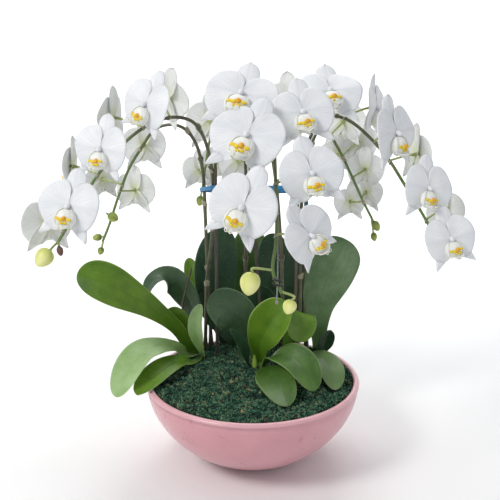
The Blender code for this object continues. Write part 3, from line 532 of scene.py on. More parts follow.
def stalk_finish(name, pale, deep, roughness=0.42, young=None):
    """Smooth tissue with streaks along it and patches of deeper colour.

    A stem that is young towards its tip takes the young colour there.
    """
    made = Finish(name, Subsurface_Weight=0.1, Subsurface_Scale=0.002, Coat_Weight=0.15)
    streaks = made.noise(made.places((1, 1, 0.25)), 420.0, 2.0)
    patches = made.grain(45.0, 3.0, 0.6)
    tone = made.ramp(patches, (0.32, deep), (0.64, pale))
    streaked = made.mix(made.ramp(streaks, (0.3, 0.0), (0.7, 0.35)), tone, deep)
    if young:
        streaked = made.mix(made.ramp(made.along(), (0.55, 0.0), (0.92, 0.85)), streaked, young)
    made.colour(streaked)
    made.roughness(made.ramp(streaks, (0.3, roughness - 0.06), (0.7, roughness + 0.10)))
    made.bump(streaks, 0.0002, 0.6)
    return made.material


def bud_finish(name, pale, deep):
    """A closed bud: pale yellow-green, deeper along its seams and at its foot."""
    made = Finish(name, Subsurface_Weight=0.25, Subsurface_Scale=0.004, Coat_Weight=0.1)
    speckle = made.grain(420.0, 2.0)
    seam = made.maths("POWER", made.across(), 3.0)
    tone = made.ramp(made.along(), (0.05, deep), (0.45, pale))
    made.colour(made.mix(made.maths("MULTIPLY", seam, 0.7), tone, deep))
    made.roughness(made.ramp(speckle, (0.3, 0.36), (0.7, 0.50)))
    made.bump(speckle, 0.0003, 0.5)
    return made.material


def leaf_finish(name, light, deep, foot, gloss, edge):
    """Waxy leaf: long fine veins, a sunk midrib, cloudy greens and a thin pale edge."""
    made = Finish(name, Subsurface_Weight=0.05, Subsurface_Scale=0.003, Coat_Weight=gloss,
                  Coat_Roughness=0.25, Specular_IOR_Level=0.35)
    veins = made.noise(made.marks(LEAF_VEINS), 1.0, 2.0)
    clouds = made.grain(30.0, 4.0, 0.6)
    pores = made.grain(1300.0, 1.0)
    dust = made.ramp(made.grain(620.0, 1.0), (0.68, 0.0), (0.75, 0.25))
    tone = made.ramp(clouds, (0.30, deep), (0.68, light))
    # For the pale tone, the change from the foot's green to the paler colours is painted sheen.
    footed = made.mix(made.ramp(made.along(), (0.08, 0.85), (0.46, 0.0)), tone, foot)
    veined = made.mix(made.ramp(veins, (0.35, 0.30), (0.60, 0.0)), footed, deep)
    across = made.across()
    ribbed = made.mix(made.ramp(across, (0.0, 0.45), (0.05, 0.0)), veined, deep)
    edged = made.mix(made.ramp(across, (0.955, 0.0), (0.99, 0.8)), ribbed, edge)
    made.colour(made.mix(dust, edged, (0.55, 0.62, 0.50)))
    made.roughness(made.ramp(clouds, (0.3, 0.32), (0.7, 0.46)))
    ridges = made.maths("MULTIPLY", veins, 0.6)
    made.bump(made.maths("MULTIPLY_ADD", pores, 0.12, ridges), 0.0006, 0.7)
    return made.material


def glaze_finish():
    """Pink glaze, a little cloudy, and paler at the lip."""
    made = Finish("pink_glaze", Coat_Weight=0.45, Coat_Roughness=0.24, IOR=1.50)
    clouds = made.grain(22.0, 4.0, 0.6)
    flecks = made.grain(420.0, 2.0)
    tone = made.ramp(clouds, (0.30, (0.615, 0.275, 0.315)), (0.70, (0.680, 0.330, 0.370)))
    height = made.node("ShaderNodeSeparateXYZ", Vector=made.places()).outputs[2]
    lip = made.ramp(made.maths("DIVIDE", height, BOWL_HEIGHT), (0.915, 0.0), (0.975, 0.55))
    lightened = made.mix(lip, tone, (0.79, 0.47, 0.50))
    specks = made.ramp(flecks, (0.72, 0.0), (0.78, 0.5))
    made.colour(made.mix(specks, lightened, (0.45, 0.20, 0.22)))
    made.roughness(made.ramp(clouds, (0.3, 0.26), (0.7, 0.36)))
    made.bump(clouds, 0.0006, 0.3)
    return made.material


def moss_finish(name, deep, middle, light, rare):
    """Preserved moss: each sprig takes its own green, deeper at its foot."""
    made = Finish(name, Sheen_Weight=0.08, IOR=1.35)
    patches = made.grain(55.0, 3.0, 0.6)
    split = made.node("ShaderNodeSeparateXYZ", Vector=made.marks())
    blend = made.maths("ADD", made.maths("MULTIPLY", split.outputs[1], 0.40),
                       made.maths("MULTIPLY", patches, 0.60))
    tone = made.ramp(blend, (0.32, deep), (0.46, middle), (0.60, light), (0.76, rare))
    foot = made.ramp(split.outputs[0], (0.0, 0.35), (0.8, 1.0))
    made.colour(made.mix(1.0, tone, foot, "MULTIPLY"))
    made.roughness(0.88)
    made.bump(made.grain(700.0, 2.0), 0.0005, 0.6)
    return made.material


def ground_finish(name, deep, light, scale):
    """Crumbly dry matter: the moss's bed, the bark under it, and the chips and scraps in it."""
    made = Finish(name, IOR=1.35)
    lumps = made.grain(scale, 4.0, 0.7)
    made.colour(made.ramp(lumps, (0.30, deep), (0.72, light)))
    made.roughness(0.95)
    made.bump(lumps, 0.002, 0.9)
    return made.material


def stake_finish():
    """Dark brown cane with a long fine grain."""
    made = Finish("stake_brown", IOR=1.45)
    grain = made.noise(made.places((1, 1, 0.06)), 700.0, 3.0)
    made.colour(made.ramp(grain, (0.30, (0.045, 0.036, 0.028)), (0.70, (0.125, 0.105, 0.084))))
    made.roughness(made.ramp(grain, (0.3, 0.50), (0.7, 0.72)))
    made.bump(grain, 0.0004, 0.8)
    return made.material


def plastic_finish(name, colour, darker, roughness):
    """Plain plastic or painted wire, a little scuffed."""
    made = Finish(name, IOR=1.46)
    scuffs = made.noise(made.places((1, 1, 3)), 260.0, 3.0, 0.6)
    made.colour(made.ramp(scuffs, (0.30, darker), (0.62, colour)))
    made.roughness(made.ramp(scuffs, (0.3, roughness), (0.7, roughness + 0.15)))
    made.bump(scuffs, 0.0002, 0.4)
    return made.material


def floor_finish():
    made = Finish("pale_floor")
    made.colour((0.90, 0.90, 0.90, 1.0))
    made.roughness(0.8)
    return made.material


# Each green: its light and deep colours, the colour at the leaf's foot, its gloss and its edge.
LEAF_TONES = {
    "bright": ((0.150, 0.275, 0.016), (0.068, 0.165, 0.007), (0.055, 0.140, 0.006), 0.12,
               (0.34, 0.46, 0.12)),
    "middle": ((0.098, 0.195, 0.034), (0.034, 0.095, 0.012), (0.040, 0.100, 0.008), 0.18,
               (0.30, 0.42, 0.15)),
    "soft": ((0.155, 0.250, 0.085), (0.085, 0.160, 0.045), (0.070, 0.140, 0.030), 0.10,
             (0.30, 0.40, 0.20)),
    # The pale green's light and deep colours are painted sheen, a painted reflection of the bright
    # sky on leaves that face up; only its foot colour is the leaf's own green.
    "pale": ((0.380, 0.540, 0.260), (0.240, 0.390, 0.130), (0.080, 0.170, 0.014), 0.12,
             (0.50, 0.60, 0.34)),
    "blue": ((0.062, 0.120, 0.052), (0.028, 0.070, 0.028), (0.024, 0.064, 0.018), 0.22,
             (0.16, 0.27, 0.14)),
    "grey": ((0.135, 0.225, 0.105), (0.055, 0.115, 0.036), (0.036, 0.100, 0.014), 0.20,
             (0.24, 0.36, 0.20)),
    "dark": ((0.026, 0.074, 0.028), (0.010, 0.040, 0.016), (0.010, 0.040, 0.012), 0.12,
             (0.08, 0.16, 0.08)),
}


UNDERSIDE = (0.16, 0.22, 0.10)       # the dull green that a leaf's underside leans to
UNDERSIDE_SHARE = 0.45


def make_finishes():
    """Every material, by the name that the pieces ask for it by."""
    finishes = {
        "petal": petal_finish("petal_white", (0.86, 0.87, 0.89), (0.68, 0.71, 0.76)),
        "petal_back": petal_back_finish(),
        "lip": lip_finish("lip_lobe", 0.55),
        "throat": lip_finish("lip_throat", 0.15),
        "callus": callus_finish("callus_yellow", (0.88, 0.70, 0.03), (0.82, 0.55, 0.01)),
        "callus_deep": callus_finish("callus_orange", (0.86, 0.48, 0.01), (0.76, 0.32, 0.01)),
        "pedicel": stalk_finish("pedicel_green", (0.46, 0.52, 0.20), (0.20, 0.26, 0.07)),
        "stem": stalk_finish("stem_olive", (0.120, 0.135, 0.055), (0.060, 0.050, 0.036),
                             young=(0.130, 0.230, 0.045)),
        "crown": stalk_finish("crown_green", (0.42, 0.54, 0.10), (0.24, 0.36, 0.04)),
        "bract": stalk_finish("bract_tan", (0.42, 0.40, 0.28), (0.24, 0.20, 0.13), 0.55),
        "bud": bud_finish("bud_yellow", (0.84, 0.84, 0.36), (0.60, 0.64, 0.16)),
        "bud_young": bud_finish("bud_green", (0.34, 0.40, 0.07), (0.12, 0.18, 0.03)),
        "bud_dry": bud_finish("bud_dried", (0.17, 0.075, 0.060), (0.060, 0.032, 0.026)),
        "glaze": glaze_finish(),
        "moss": moss_finish("moss_green", (0.008, 0.044, 0.025), (0.036, 0.160, 0.090),
                            (0.140, 0.330, 0.200), (0.40, 0.34, 0.16)),
        "moss_bed": ground_finish("moss_bed", (0.004, 0.014, 0.010), (0.020, 0.050, 0.034), 160.0),
        "medium": ground_finish("bark", (0.020, 0.012, 0.008), (0.090, 0.060, 0.040), 120.0),
        "bark": ground_finish("bark_chip", (0.050, 0.034, 0.024), (0.170, 0.120, 0.085), 500.0),
        "scrap": ground_finish("dry_scrap", (0.30, 0.22, 0.10), (0.58, 0.46, 0.24), 500.0),
        "stake": stake_finish(),
        "tie": plastic_finish("tie_blue", (0.035, 0.255, 0.520), (0.020, 0.170, 0.400), 0.35),
        "tie_dark": plastic_finish("tie_dark_blue", (0.016, 0.090, 0.170), (0.010, 0.060, 0.120),
                                   0.40),
        "clip": plastic_finish("clip_black", (0.020, 0.020, 0.022), (0.008, 0.008, 0.009), 0.40),
        "wire": plastic_finish("wire_grey", (0.30, 0.31, 0.30), (0.16, 0.16, 0.16), 0.40),
        "floor": floor_finish(),
    }
    for tone, (light, deep, foot, gloss, edge) in LEAF_TONES.items():
        finishes["leaf_" + tone] = leaf_finish("leaf_" + tone, light, deep, foot, gloss, edge)
        under = tuple(own + UNDERSIDE_SHARE * (dull - own) for own, dull in zip(light, UNDERSIDE))
        finishes["under_" + tone] = leaf_finish("leaf_under_" + tone, under, deep, foot, 0.05, edge)
    return finishes


# ---- Mesh tools ---------------------------------------------------------------------------
def link(name, data):
    """Puts a new object with this data in the scene."""
    made = bpy.data.objects.new(name, data)
    bpy.context.scene.collection.objects.link(made)
    return made


def any_angle(rng):
    """An angle round the whole circle, in radians."""
    return rng.uniform(0, 6.28)


def ring(radius, steps, height=0.0):
    """Places round a circle about the Z axis. The height is one number or one for each place."""
    angles = np.linspace(0, 2 * np.pi, steps, endpoint=False)
    places = np.stack([np.cos(angles), np.sin(angles), np.zeros(steps)], -1) * radius
    places[:, 2] = height
    return places


class Shape:
    """Gathers sheets, tubes and lumps into the mesh of one piece."""

    def __init__(self, *finish_names):
        self.finish_names = finish_names
        self.places, self.marks, self.faces, self.slots = [], [], [], []
        self.count = 0

    def add(self, places, faces, finish_name, marks=None):
        """Adds places, the faces between them, and their marks if they have any."""
        start = self.count
        self.places.append(np.asarray(places).reshape(-1, 3))
        self.count += len(self.places[-1])
        if marks is None:
            marks = np.full((self.count - start, 2), 0.5)
        self.marks.append(np.asarray(marks).reshape(-1, 2))
        self.skin(faces, start, finish_name)
        return start

    def skin(self, faces, start, finish_name):
        """Adds faces whose corners are counted from the start."""
        self.faces.extend(tuple(corner + start for corner in face) for face in faces)
        self.slots.extend([self.finish_names.index(finish_name)] * len(faces))

    def sheet(self, grid, thickness, marks, front, back):
        """Closes a grid of places into a thin sheet with a front, a back and a rim."""
        rows, columns = grid.shape[:2]
        along = np.gradient(grid, axis=0)
        across = np.gradient(grid, axis=1)
        normal = np.cross(along, across)
        normal /= np.maximum(np.linalg.norm(normal, axis=2, keepdims=True), 1e-12)
        lift = normal * np.broadcast_to(thickness, (rows, columns))[..., None] / 2
        index = np.arange(rows * columns).reshape(rows, columns)
        a, b, c, d = index[:-1, :-1], index[1:, :-1], index[1:, 1:], index[:-1, 1:]
        quads = np.stack([a, b, c, d], axis=-1).reshape(-1, 4)
        under = rows * columns
        rim = np.concatenate([index[0, :-1], index[:-1, -1], index[-1, :0:-1], index[:0:-1, 0]])
        following = np.roll(rim, -1)
        sides = np.stack([rim, following, following + under, rim + under], axis=-1)
        places = np.concatenate([grid + lift, grid - lift])
        start = self.add(places, quads.tolist(), front, np.concatenate([marks, marks]))
        self.skin((quads[:, ::-1] + under).tolist(), start, back)
        self.skin(sides.tolist(), start, front)

    def tube(self, route, radii, sides, finish_name, squash=None):
        """A closed tube along a route. Its marks are how far along, and how near a seam."""
        route = [Vector(place) for place in route]
        angles = [2 * math.pi * k / sides for k in range(sides)]
        across = None
        places, marks, faces = [], [], []
        last = len(route) - 1
        for row, (place, ahead, radius) in enumerate(zip(route, directions(route), radii)):
            across = ahead.orthogonal() if across is None else across
            across = (across - ahead * across.dot(ahead)).normalized()
            side = ahead.cross(across)
            for angle in angles:
                reach = float(radius) * (squash(row / last, angle) if squash else 1.0)
                places.append(place + reach * (math.cos(angle) * across + math.sin(angle) * side))
                marks.append((row / last, 0.5 + 0.5 * abs(math.cos(1.5 * angle))))
        for row in range(last):
            for k in range(sides):
                near, after = row * sides + k, row * sides + (k + 1) % sides
                faces.append((near, after, after + sides, near + sides))
        faces.append(tuple(range(sides))[::-1])
        faces.append(tuple(last * sides + k for k in range(sides)))
        self.add([tuple(place) for place in places], faces, finish_name, marks)

    def rings(self, rings, low, high, finish_name):
        """A closed solid through rings of places, between its low and high middle points."""
        rows, columns = len(rings), len(rings[0])
        top = (rows - 1) * columns
        faces = []
        for k in range(columns):
            after = (k + 1) % columns
            faces.append((rows * columns, after, k))
            faces.append((top + k, top + after, rows * columns + 1))
            faces.extend((row + k, row + after, row + columns + after, row + columns + k)
                         for row in range(0, top, columns))
        self.add(np.concatenate([*rings, [low, high]]), faces, finish_name)

    def blob(self, centre, radii, finish_name, rows=7, columns=12):
        """A closed rounded lump."""
        centre, radii = np.asarray(centre), np.asarray(radii)
        rises = np.linspace(-0.5 * np.pi, 0.5 * np.pi, rows + 2)[1:-1]
        rings = [ring(math.cos(rise), columns, math.sin(rise)) * radii + centre for rise in rises]
        pole = radii * (0, 0, 1)
        self.rings(rings, centre - pole, centre + pole, finish_name)

    def transform(self, matrix):
        """Moves everything added so far by a matrix."""
        turn = np.array(matrix.to_3x3())
        shift = np.array(matrix.translation)
        self.places = [block @ turn.T + shift for block in self.places]

    def make(self, name, finishes, nodes=()):
        """Builds the piece, and hides the CAD nodes that it stands for."""
        mesh = bpy.data.meshes.new(name)
        mesh.from_pydata(np.concatenate(self.places).tolist(), [], self.faces)
        marks = np.concatenate(self.marks)
        corners = np.empty(len(mesh.loops), dtype=np.int32)
        mesh.loops.foreach_get("vertex_index", corners)
        mesh.uv_layers.new(name="marks").data.foreach_set("uv", marks[corners].ravel())
        mesh.polygons.foreach_set("material_index", self.slots)
        for finish_name in self.finish_names:
            mesh.materials.append(finishes[finish_name])
        mesh.shade_smooth()
        piece = link(name, mesh)
        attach(piece, "root")
        if nodes:
            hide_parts(*nodes)


def smooth_route(points, steps):
    """Reads a smooth curve through the points, with this many steps between neighbours."""
    places = [Vector(point) for point in points]
    places = [2 * places[0] - places[1]] + places + [2 * places[-1] - places[-2]]
    route = []
    for first, start, end, last in zip(places, places[1:], places[2:], places[3:]):
        for step in range(steps):
            t = step / steps
            route.append(0.5 * (2 * start + (end - first) * t
                                + (2 * first - 5 * start + 4 * end - last) * t * t
                                + (3 * start - first - 3 * end + last) * t ** 3))
    route.append(places[-2])
    return route


def directions(route):
    """The direction of travel at each point of a route."""
    ends = zip([route[0]] + route[:-1], route[1:] + [route[-1]])
    return [(after - before).normalized() for before, after in ends]


def between(row, step):
    """Reads a row of vectors at a step that may lie between two of them."""
    low = min(int(step), len(row) - 2)
    return row[low].lerp(row[low + 1], step - low)


def mesh_grid(rows, columns, first=0.0):
    """Shares along and across a blade: along runs from first to 1, across from -1 to 1."""
    along, across = np.meshgrid(np.linspace(first, 1.0, rows), np.linspace(-1.0, 1.0, columns),
                                indexing="ij")
    return along, across, np.stack([along, across / 2 + 0.5], axis=-1)


# ---- Bowl ---------------------------------------------------------------------------------
def bowl_outside(height):
    rise = 1.0 - (1.0 - height / BOWL_HEIGHT) ** 2
    return BOWL_FOOT_RADIUS + (BOWL_RADIUS - BOWL_FOOT_RADIUS) * rise ** BOWL_ROUNDNESS


def bowl_inside(height):
    return bowl_outside(height) - BOWL_WALL - BOWL_FOOT_EXTRA * (1.0 - height / BOWL_HEIGHT)


def add_bowl(finishes):
    """The glazed bowl, turned from its outline: foot, outside, rolled lip, inside and floor."""
    lip_starts, lip_ends = math.radians(-75), math.radians(165)
    wall_top = 0.90
    outer = [(BOWL_FOOT_RADIUS - 2 * FOOT_ROUND, 0.0), (BOWL_FOOT_RADIUS - FOOT_ROUND, 0.0002)]
    outer += [(bowl_outside(z), z) for z in BOWL_HEIGHT * np.linspace(0.012, wall_top, 40)]
    lip = [(BOWL_RADIUS - BOWL_LIP + LIP_SPREAD * BOWL_LIP * math.cos(angle),
            BOWL_HEIGHT - BOWL_LIP + BOWL_LIP * math.sin(angle))
           for angle in np.linspace(lip_starts, lip_ends, 19)]
    inner = [(bowl_inside(z), z) for z in BOWL_HEIGHT * np.linspace(wall_top, 0.13, 20)]
    profile = outer + lip + inner + [(0.040, BOWL_FLOOR + 0.0005)]
    shape = Shape("glaze")
    rings = [ring(radius, 160, height) for radius, height in profile]
    shape.rings(rings, (0, 0, 0), (0, 0, BOWL_FLOOR), "glaze")
    shape.make("bowl_glazed", finishes, ["bowl"])


# ---- Moss ---------------------------------------------------------------------------------
def moss_surface(x, y):
    """The moss's own lumpy top at a place in plan: domed, and lowest by the wall."""
    share = math.hypot(x, y) / MOSS_EDGE
    top = MOSS_MIDDLE_TOP - (MOSS_MIDDLE_TOP - MOSS_EDGE_TOP) * share ** 3
    large = noise.noise(Vector((x, y, 0.0)) * LUMP_SCALES[0])
    small = noise.noise(Vector((x, y, 1.0)) * LUMP_SCALES[1])
    return top + MOSS_LUMPS * (large + 0.6 * small)


def add_moss(finishes, rows=44, steps=150):
    """The moss's dense dark bed, which its sprigs grow from."""
    bottom = MEDIUM_TOP + GAP
    rings = [ring(MOSS_RADIUS, steps, bottom)]
    for row in range(rows, 0, -1):
        places = ring(MOSS_RADIUS * row / rows, steps)
        places[:, 2] = [moss_surface(x, y) for x, y, _ in places]
        rings.append(places)
    shape = Shape("moss_bed")
    shape.rings(rings, (0, 0, bottom), (0, 0, moss_surface(0, 0)), "moss_bed")
    shape.make("moss_bed", finishes, ["moss"])


def add_moss_sprigs(finishes, rng, count=15000, blades=4):
    """Thousands of small sprigs, each a bunch of narrow blades that bend at a knee."""
    radius = MOSS_REACH * np.sqrt(rng.random(count))
    turn = rng.random(count) * 2 * np.pi
    x, y = radius * np.cos(turn), radius * np.sin(turn)
    z = np.array([moss_surface(a, b) for a, b in zip(x, y)]) - SPRIG_SUNK
    foot = np.repeat(np.stack([x, y, z], -1), blades, axis=0)
    tone = np.repeat(rng.random(count) ** 1.3, blades)
    total = count * blades
    yaw = rng.random(total) * 2 * np.pi
    lean = rng.uniform(*SPRIG_LEAN, total)
    length = rng.uniform(*SPRIG_LENGTH, total)
    width = rng.uniform(*SPRIG_WIDTH, total)
    out = np.stack([np.cos(yaw), np.sin(yaw), np.zeros(total)], -1)
    side = np.stack([-np.sin(yaw), np.cos(yaw), np.zeros(total)], -1) * width[:, None]

    def grown(start, bend, share):
        """Where a blade gets to from the start, leaning by its own lean times the bend."""
        angle = (lean * bend)[:, None]
        way = out * np.sin(angle) + np.array([0.0, 0.0, 1.0]) * np.cos(angle)
        return start + way * (length * share)[:, None]

    knee = grown(foot, 0.5, SPRIG_KNEE)
    tip = grown(knee, 1.6, 1 - SPRIG_KNEE)
    places = np.stack([foot - side, foot + side, knee - side * 0.9, knee + side * 0.9, tip], 1)
    base = np.arange(total)[:, None] * 5
    quads = (base + np.array([0, 1, 3, 2])).tolist()
    ends = (base + np.array([2, 3, 4])).tolist()
    heights = np.broadcast_to([0.0, 0.0, 0.6, 0.6, 1.0], (total, 5))
    marks = np.stack([heights, np.broadcast_to(tone[:, None], (total, 5))], -1)
    shape = Shape("moss")
    shape.add(places, quads + ends, "moss", marks)
    shape.make("moss_sprigs", finishes)


def add_moss_bits(finishes, rng, count=70):
    """Chips of bark and dry yellow scraps lying in the moss."""
    shape = Shape("bark", "scrap")
    for number in range(count):
        radius, turn = MOSS_RADIUS * math.sqrt(rng.random()), rng.random() * 2 * math.pi
        x, y = radius * math.cos(turn), radius * math.sin(turn)
        size = rng.uniform(*BIT_RADIUS)
        sizes = size * rng.uniform(0.5, 1.3, 3)
        finish_name = "scrap" if number % 3 == 0 else "bark"
        shape.blob((x, y, moss_surface(x, y) + BIT_RISE), sizes, finish_name, 3, 6)
    shape.make("moss_bits", finishes)


# ---- Leaves -------------------------------------------------------------------------------
def leaf_half_width(share, leaf):
    """Half the leaf's width at this share of its length: narrow base, broad blade, round tip."""
    broad_at = leaf["broad_at"]
    if share < broad_at:
        rise = (0.5 - 0.5 * math.cos(math.pi * share / broad_at)) ** leaf["waist"]
        return leaf["width"] / 2 * (LEAF_FOOT_SHARE + (1 - LEAF_FOOT_SHARE) * rise)
    fall = (share - broad_at) / (1.0 - broad_at)
    return leaf["width"] / 2 * math.sqrt(max(0.0, 1.0 - fall ** 2.3))


def add_leaf(name, leaf, finishes, rng, nodes):
    """A waxy blade with a rounded channel, a sunk midrib and a slightly wavy edge."""
    points = leaf["points"]
    crown = min(CROWNS, key=lambda place: math.dist(place, points[0][:2]))
    root = Vector((*crown, MOSS_MIDDLE_TOP - ROOT_DEPTH)).lerp(Vector(points[0]), 0.25)
    clasp_steps = 12
    route = smooth_route([root] + points, clasp_steps)
    blade_steps = len(route) - 1 - clasp_steps
    rows, columns = 48, 19
    _, across, marks = mesh_grid(rows, columns)
    grid = np.zeros((rows, columns, 3))
    thickness = np.zeros((rows, columns))
    phase = any_angle(rng)
    aheads = directions(route)
    faces = [Vector(face).normalized() for face in leaf["face"]]
    for row in range(rows):
        # Rows crowd towards the tip, where the outline turns quickly.
        step = (1 - (1 - row / (rows - 1)) ** ROW_CROWDING) * (len(route) - 1)
        place = between(route, step)
        ahead = between(aheads, step)
        share = max(0.0, (step - clasp_steps) / blade_steps)
        clasp = max(0.0, 1.0 - step / clasp_steps)
        face = between(faces, share * (len(faces) - 1))
        up = (face - ahead * face.dot(ahead)).normalized()
        side = ahead.cross(up)
        half = leaf_half_width(share, leaf)
        marks[row, :, 0] = share
        for column in range(columns):
            v = across[row, column]
            shift = LEAF_WAVE_SHIFT if v > 0 else 0.0
            wave = LEAF_WAVE * math.sin(LEAF_WAVES * share + phase + shift) * abs(v) ** 3
            channel = (leaf["fold"] + 0.5 * clasp) * (0.35 * v * v + 0.65 * abs(v) ** 1.3)
            rib = LEAF_RIB * math.exp(-(v / RIB_WIDTH) ** 2) * min(1.0, 3 * (1 - share))
            height = half * (channel + wave - rib)
            grid[row, column] = place + side * (half * v) + up * height
            thinning = LEAF_EDGE_THINNING * abs(v) ** 2.5 + LEAF_TIP_THINNING * share
            thickness[row, column] = LEAF_THICKNESS - thinning
    tone = leaf["tone"]
    shape = Shape("leaf_" + tone, "under_" + tone)
    shape.sheet(grid, thickness, marks, "under_" + tone, "leaf_" + tone)
    shape.make("blade_" + name, finishes, nodes)


# ---- Stems --------------------------------------------------------------------------------
def stem_radii(route):
    """A thick crown at the foot, then a stem that thins towards its tip."""
    radii = []
    for index, place in enumerate(route):
        share = index / (len(route) - 1)
        radius = STEM_BASE_RADIUS + (STEM_TIP_RADIUS - STEM_BASE_RADIUS) * share
        above = max(0.0, (place.z - MEDIUM_TOP) / CROWN_FADE)
        radii.append(radius + (CROWN_RADIUS - radius) * max(0.0, 1.0 - above) ** 0.7)
    return radii


def nearest_index(route, place):
    return min(range(len(route)), key=lambda k: (route[k] - place).length)


def bud_seams(share, angle):
    """Three sepals meet along seams down the bud."""
    depth = BUD_SEAM * math.sin(math.pi * min(1.0, share * 1.1))
    return 1.0 - depth * abs(math.cos(1.5 * angle)) ** 6


def add_bud(shape, stem_place, tip, base, diameter):
    """A closed bud on its own short stalk."""
    tip, base = Vector(tip), Vector(base)
    bend = base - (tip - base).normalized() * BUD_BEND
    stalk = smooth_route([stem_place, bend, base], 6)
    shape.tube(stalk, [PEDICEL_RADIUS] * (len(stalk) - 1) + [PEDICEL_RADIUS * 1.4], 10, "pedicel")
    shares = np.linspace(0.0, 1.0, 17)
    swell = np.sin(np.pi * shares ** 0.80) ** 0.55
    swell[0], swell[-1] = BUD_ENDS
    route = [base.lerp(tip, share) for share in shares]
    finish_name = "bud" if diameter > RIPE_BUD else "bud_young"
    if diameter < DRY_BUD:
        finish_name = "bud_dry"
    shape.tube(route, diameter / 2 * swell, 24, finish_name, bud_seams)


def add_bract(shape, place, ahead, radius, turn, length):
    """A small pointed scale that clasps the stem at a node."""
    across = Matrix.Rotation(turn, 3, ahead) @ ahead.orthogonal().normalized()
    side = ahead.cross(across)
    rows, columns = 8, 9
    along, around, marks = mesh_grid(rows, columns)
    spread = BRACT_SPREAD * (1 - along ** 1.5) + 0.05
    reach = radius * (1.10 + 0.55 * along)
    grid = np.zeros((rows, columns, 3))
    for row, column in np.ndindex(rows, columns):
        angle = around[row, column] * spread[row, column]
        way = math.cos(angle) * across + math.sin(angle) * side
        rise = ahead * length * along[row, column]
        grid[row, column] = place + rise + float(reach[row, column]) * way
    shape.sheet(grid, BRACT_THICKNESS, marks, "bract", "bract")


def add_spike(name, spike, finishes, rng):
    """A flower spike's stem with its nodes, bracts and buds. It gives the stem's route."""
    route = smooth_route(spike["points"], 10)
    radii = stem_radii(route)
    shape = Shape("stem", "pedicel", "bract", "bud", "bud_young", "bud_dry")
    nodes = [index for index in range(18, 70, 13) if index < len(route) - 30]
    lumpy = [radius * (1 + NODE_SWELL * sum(math.exp(-(index - node) ** 2) for node in nodes))
             for index, radius in enumerate(radii)]
    shape.tube(route, lumpy, 14, "stem")
    aheads = directions(route)
    for node in nodes:
        add_bract(shape, route[node], aheads[node], lumpy[node], any_angle(rng), NODE_BRACT)
    for flower in spike["flowers"] + spike.get("hidden", []):
        index = attach_index(flower, route)
        add_bract(shape, route[index], aheads[index], radii[index], any_angle(rng), FLOWER_BRACT)
    for tip, base, diameter in spike["buds"]:
        index = nearest_index(route[:-1], Vector(base))
        add_bud(shape, route[index], tip, base, diameter)
    shape.make("stem_" + name, finishes, ["spike_" + name])
    return route


# ---- Flowers ------------------------------------------------------------------------------
# Flower shapes are in shares of the flower's width. Local +Z is the way the flower faces, local
# +Y is its top.
PETAL_REACH = 0.50          # from the claw to the rim
PETAL_FAN = math.radians(88)
CUP_CENTRE = (0.0, -0.222, 0.045)
CUP_RADII = (0.172, 0.168, 0.114)
DOME_RADII = (0.162, 0.158, 0.104)
PETAL_BOWING = 0.080        # how far its middle stands forward
PETAL_RIPPLE = 0.012
SEPAL_BROAD_AT = 0.55
LOBE_BOTTOM = math.radians(-58)
LOBE_TOP = math.radians(40)
LOBE_TURN = math.radians(66)
PEDICEL_KNEE = 0.25         # how far behind the flower its stalk bends
STALK_MEETS = 0.30          # how far behind the flower its stem is looked for

# Each sepal: which way it points and how much that varies, in degrees, then its length, width,
# backward lean and bluntness.
SEPALS = [(90, 4, 0.62, 0.34, 0.060, 1.4),
          (-52, 5, 0.66, 0.23, 0.075, 0.4),
          (232, 5, 0.66, 0.23, 0.075, 0.4)]

# Each lump of the callus on the dome: its place, how much it rises or drops from flower to
# flower, its radii and its finish.
CALLUS = [(-0.092, -0.236, 1, (0.050, 0.026, 0.024), "callus"),
          (0.092, -0.236, -1, (0.050, 0.026, 0.024), "callus"),
          (0.022, -0.228, 0, (0.040, 0.042, 0.034), "callus_deep"),
          (-0.036, -0.252, 0, (0.042, 0.030, 0.026), "callus"),
          (0.050, -0.292, 0, (0.034, 0.026, 0.024), "callus"),
          (-0.006, -0.300, 0, (0.036, 0.022, 0.022), "callus")]


def flower_matrix(flower):
    place, yaw, pitch, roll, _ = flower
    turn = (Matrix.Rotation(math.radians(yaw), 4, "Z")
            @ Matrix.Rotation(math.radians(90 - pitch), 4, "X")
            @ Matrix.Rotation(math.radians(-roll), 4, "Z"))
    return Matrix.Translation(place) @ turn


def attach_index(flower, route):
    """Where on its stem the flower's stalk starts."""
    behind = flower_matrix(flower) @ Vector((0, 0, -STALK_MEETS * flower[-1]))
    return nearest_index(route, behind)


def add_petal(shape, side, rng, thickness):
    """A broad petal that fans out from its claw, ridged along its middle."""
    along, across, marks = mesh_grid(15, 33, 0.03)
    angle = across * PETAL_FAN
    reach = PETAL_REACH * np.sqrt(1 - np.abs(angle / math.radians(90)) ** 5)
    phase = any_angle(rng)
    reach *= 1 + 0.018 * np.sin(7 * across + phase)
    tilt = math.radians(rng.uniform(-1, 3))
    x = reach * along * np.cos(angle + tilt)
    y = reach * along * np.sin(angle + tilt)
    bluntness = 0.035 + 0.11 * along
    crease = np.sqrt(np.sin(angle) ** 2 + bluntness ** 2) - bluntness
    lean = np.where(angle < 0, 0.29, 0.23) * crease * along * reach
    bowing = 0.012 + PETAL_BOWING * along * (1 - 0.85 * along)
    ripple = PETAL_RIPPLE * np.sin(6 * across + phase) * along ** 3
    grid = np.stack([side * x, y, bowing - lean + ripple], axis=-1)
    front, back = ("petal", "petal_back") if side > 0 else ("petal_back", "petal")
    shape.sheet(grid, thickness, marks, front, back)


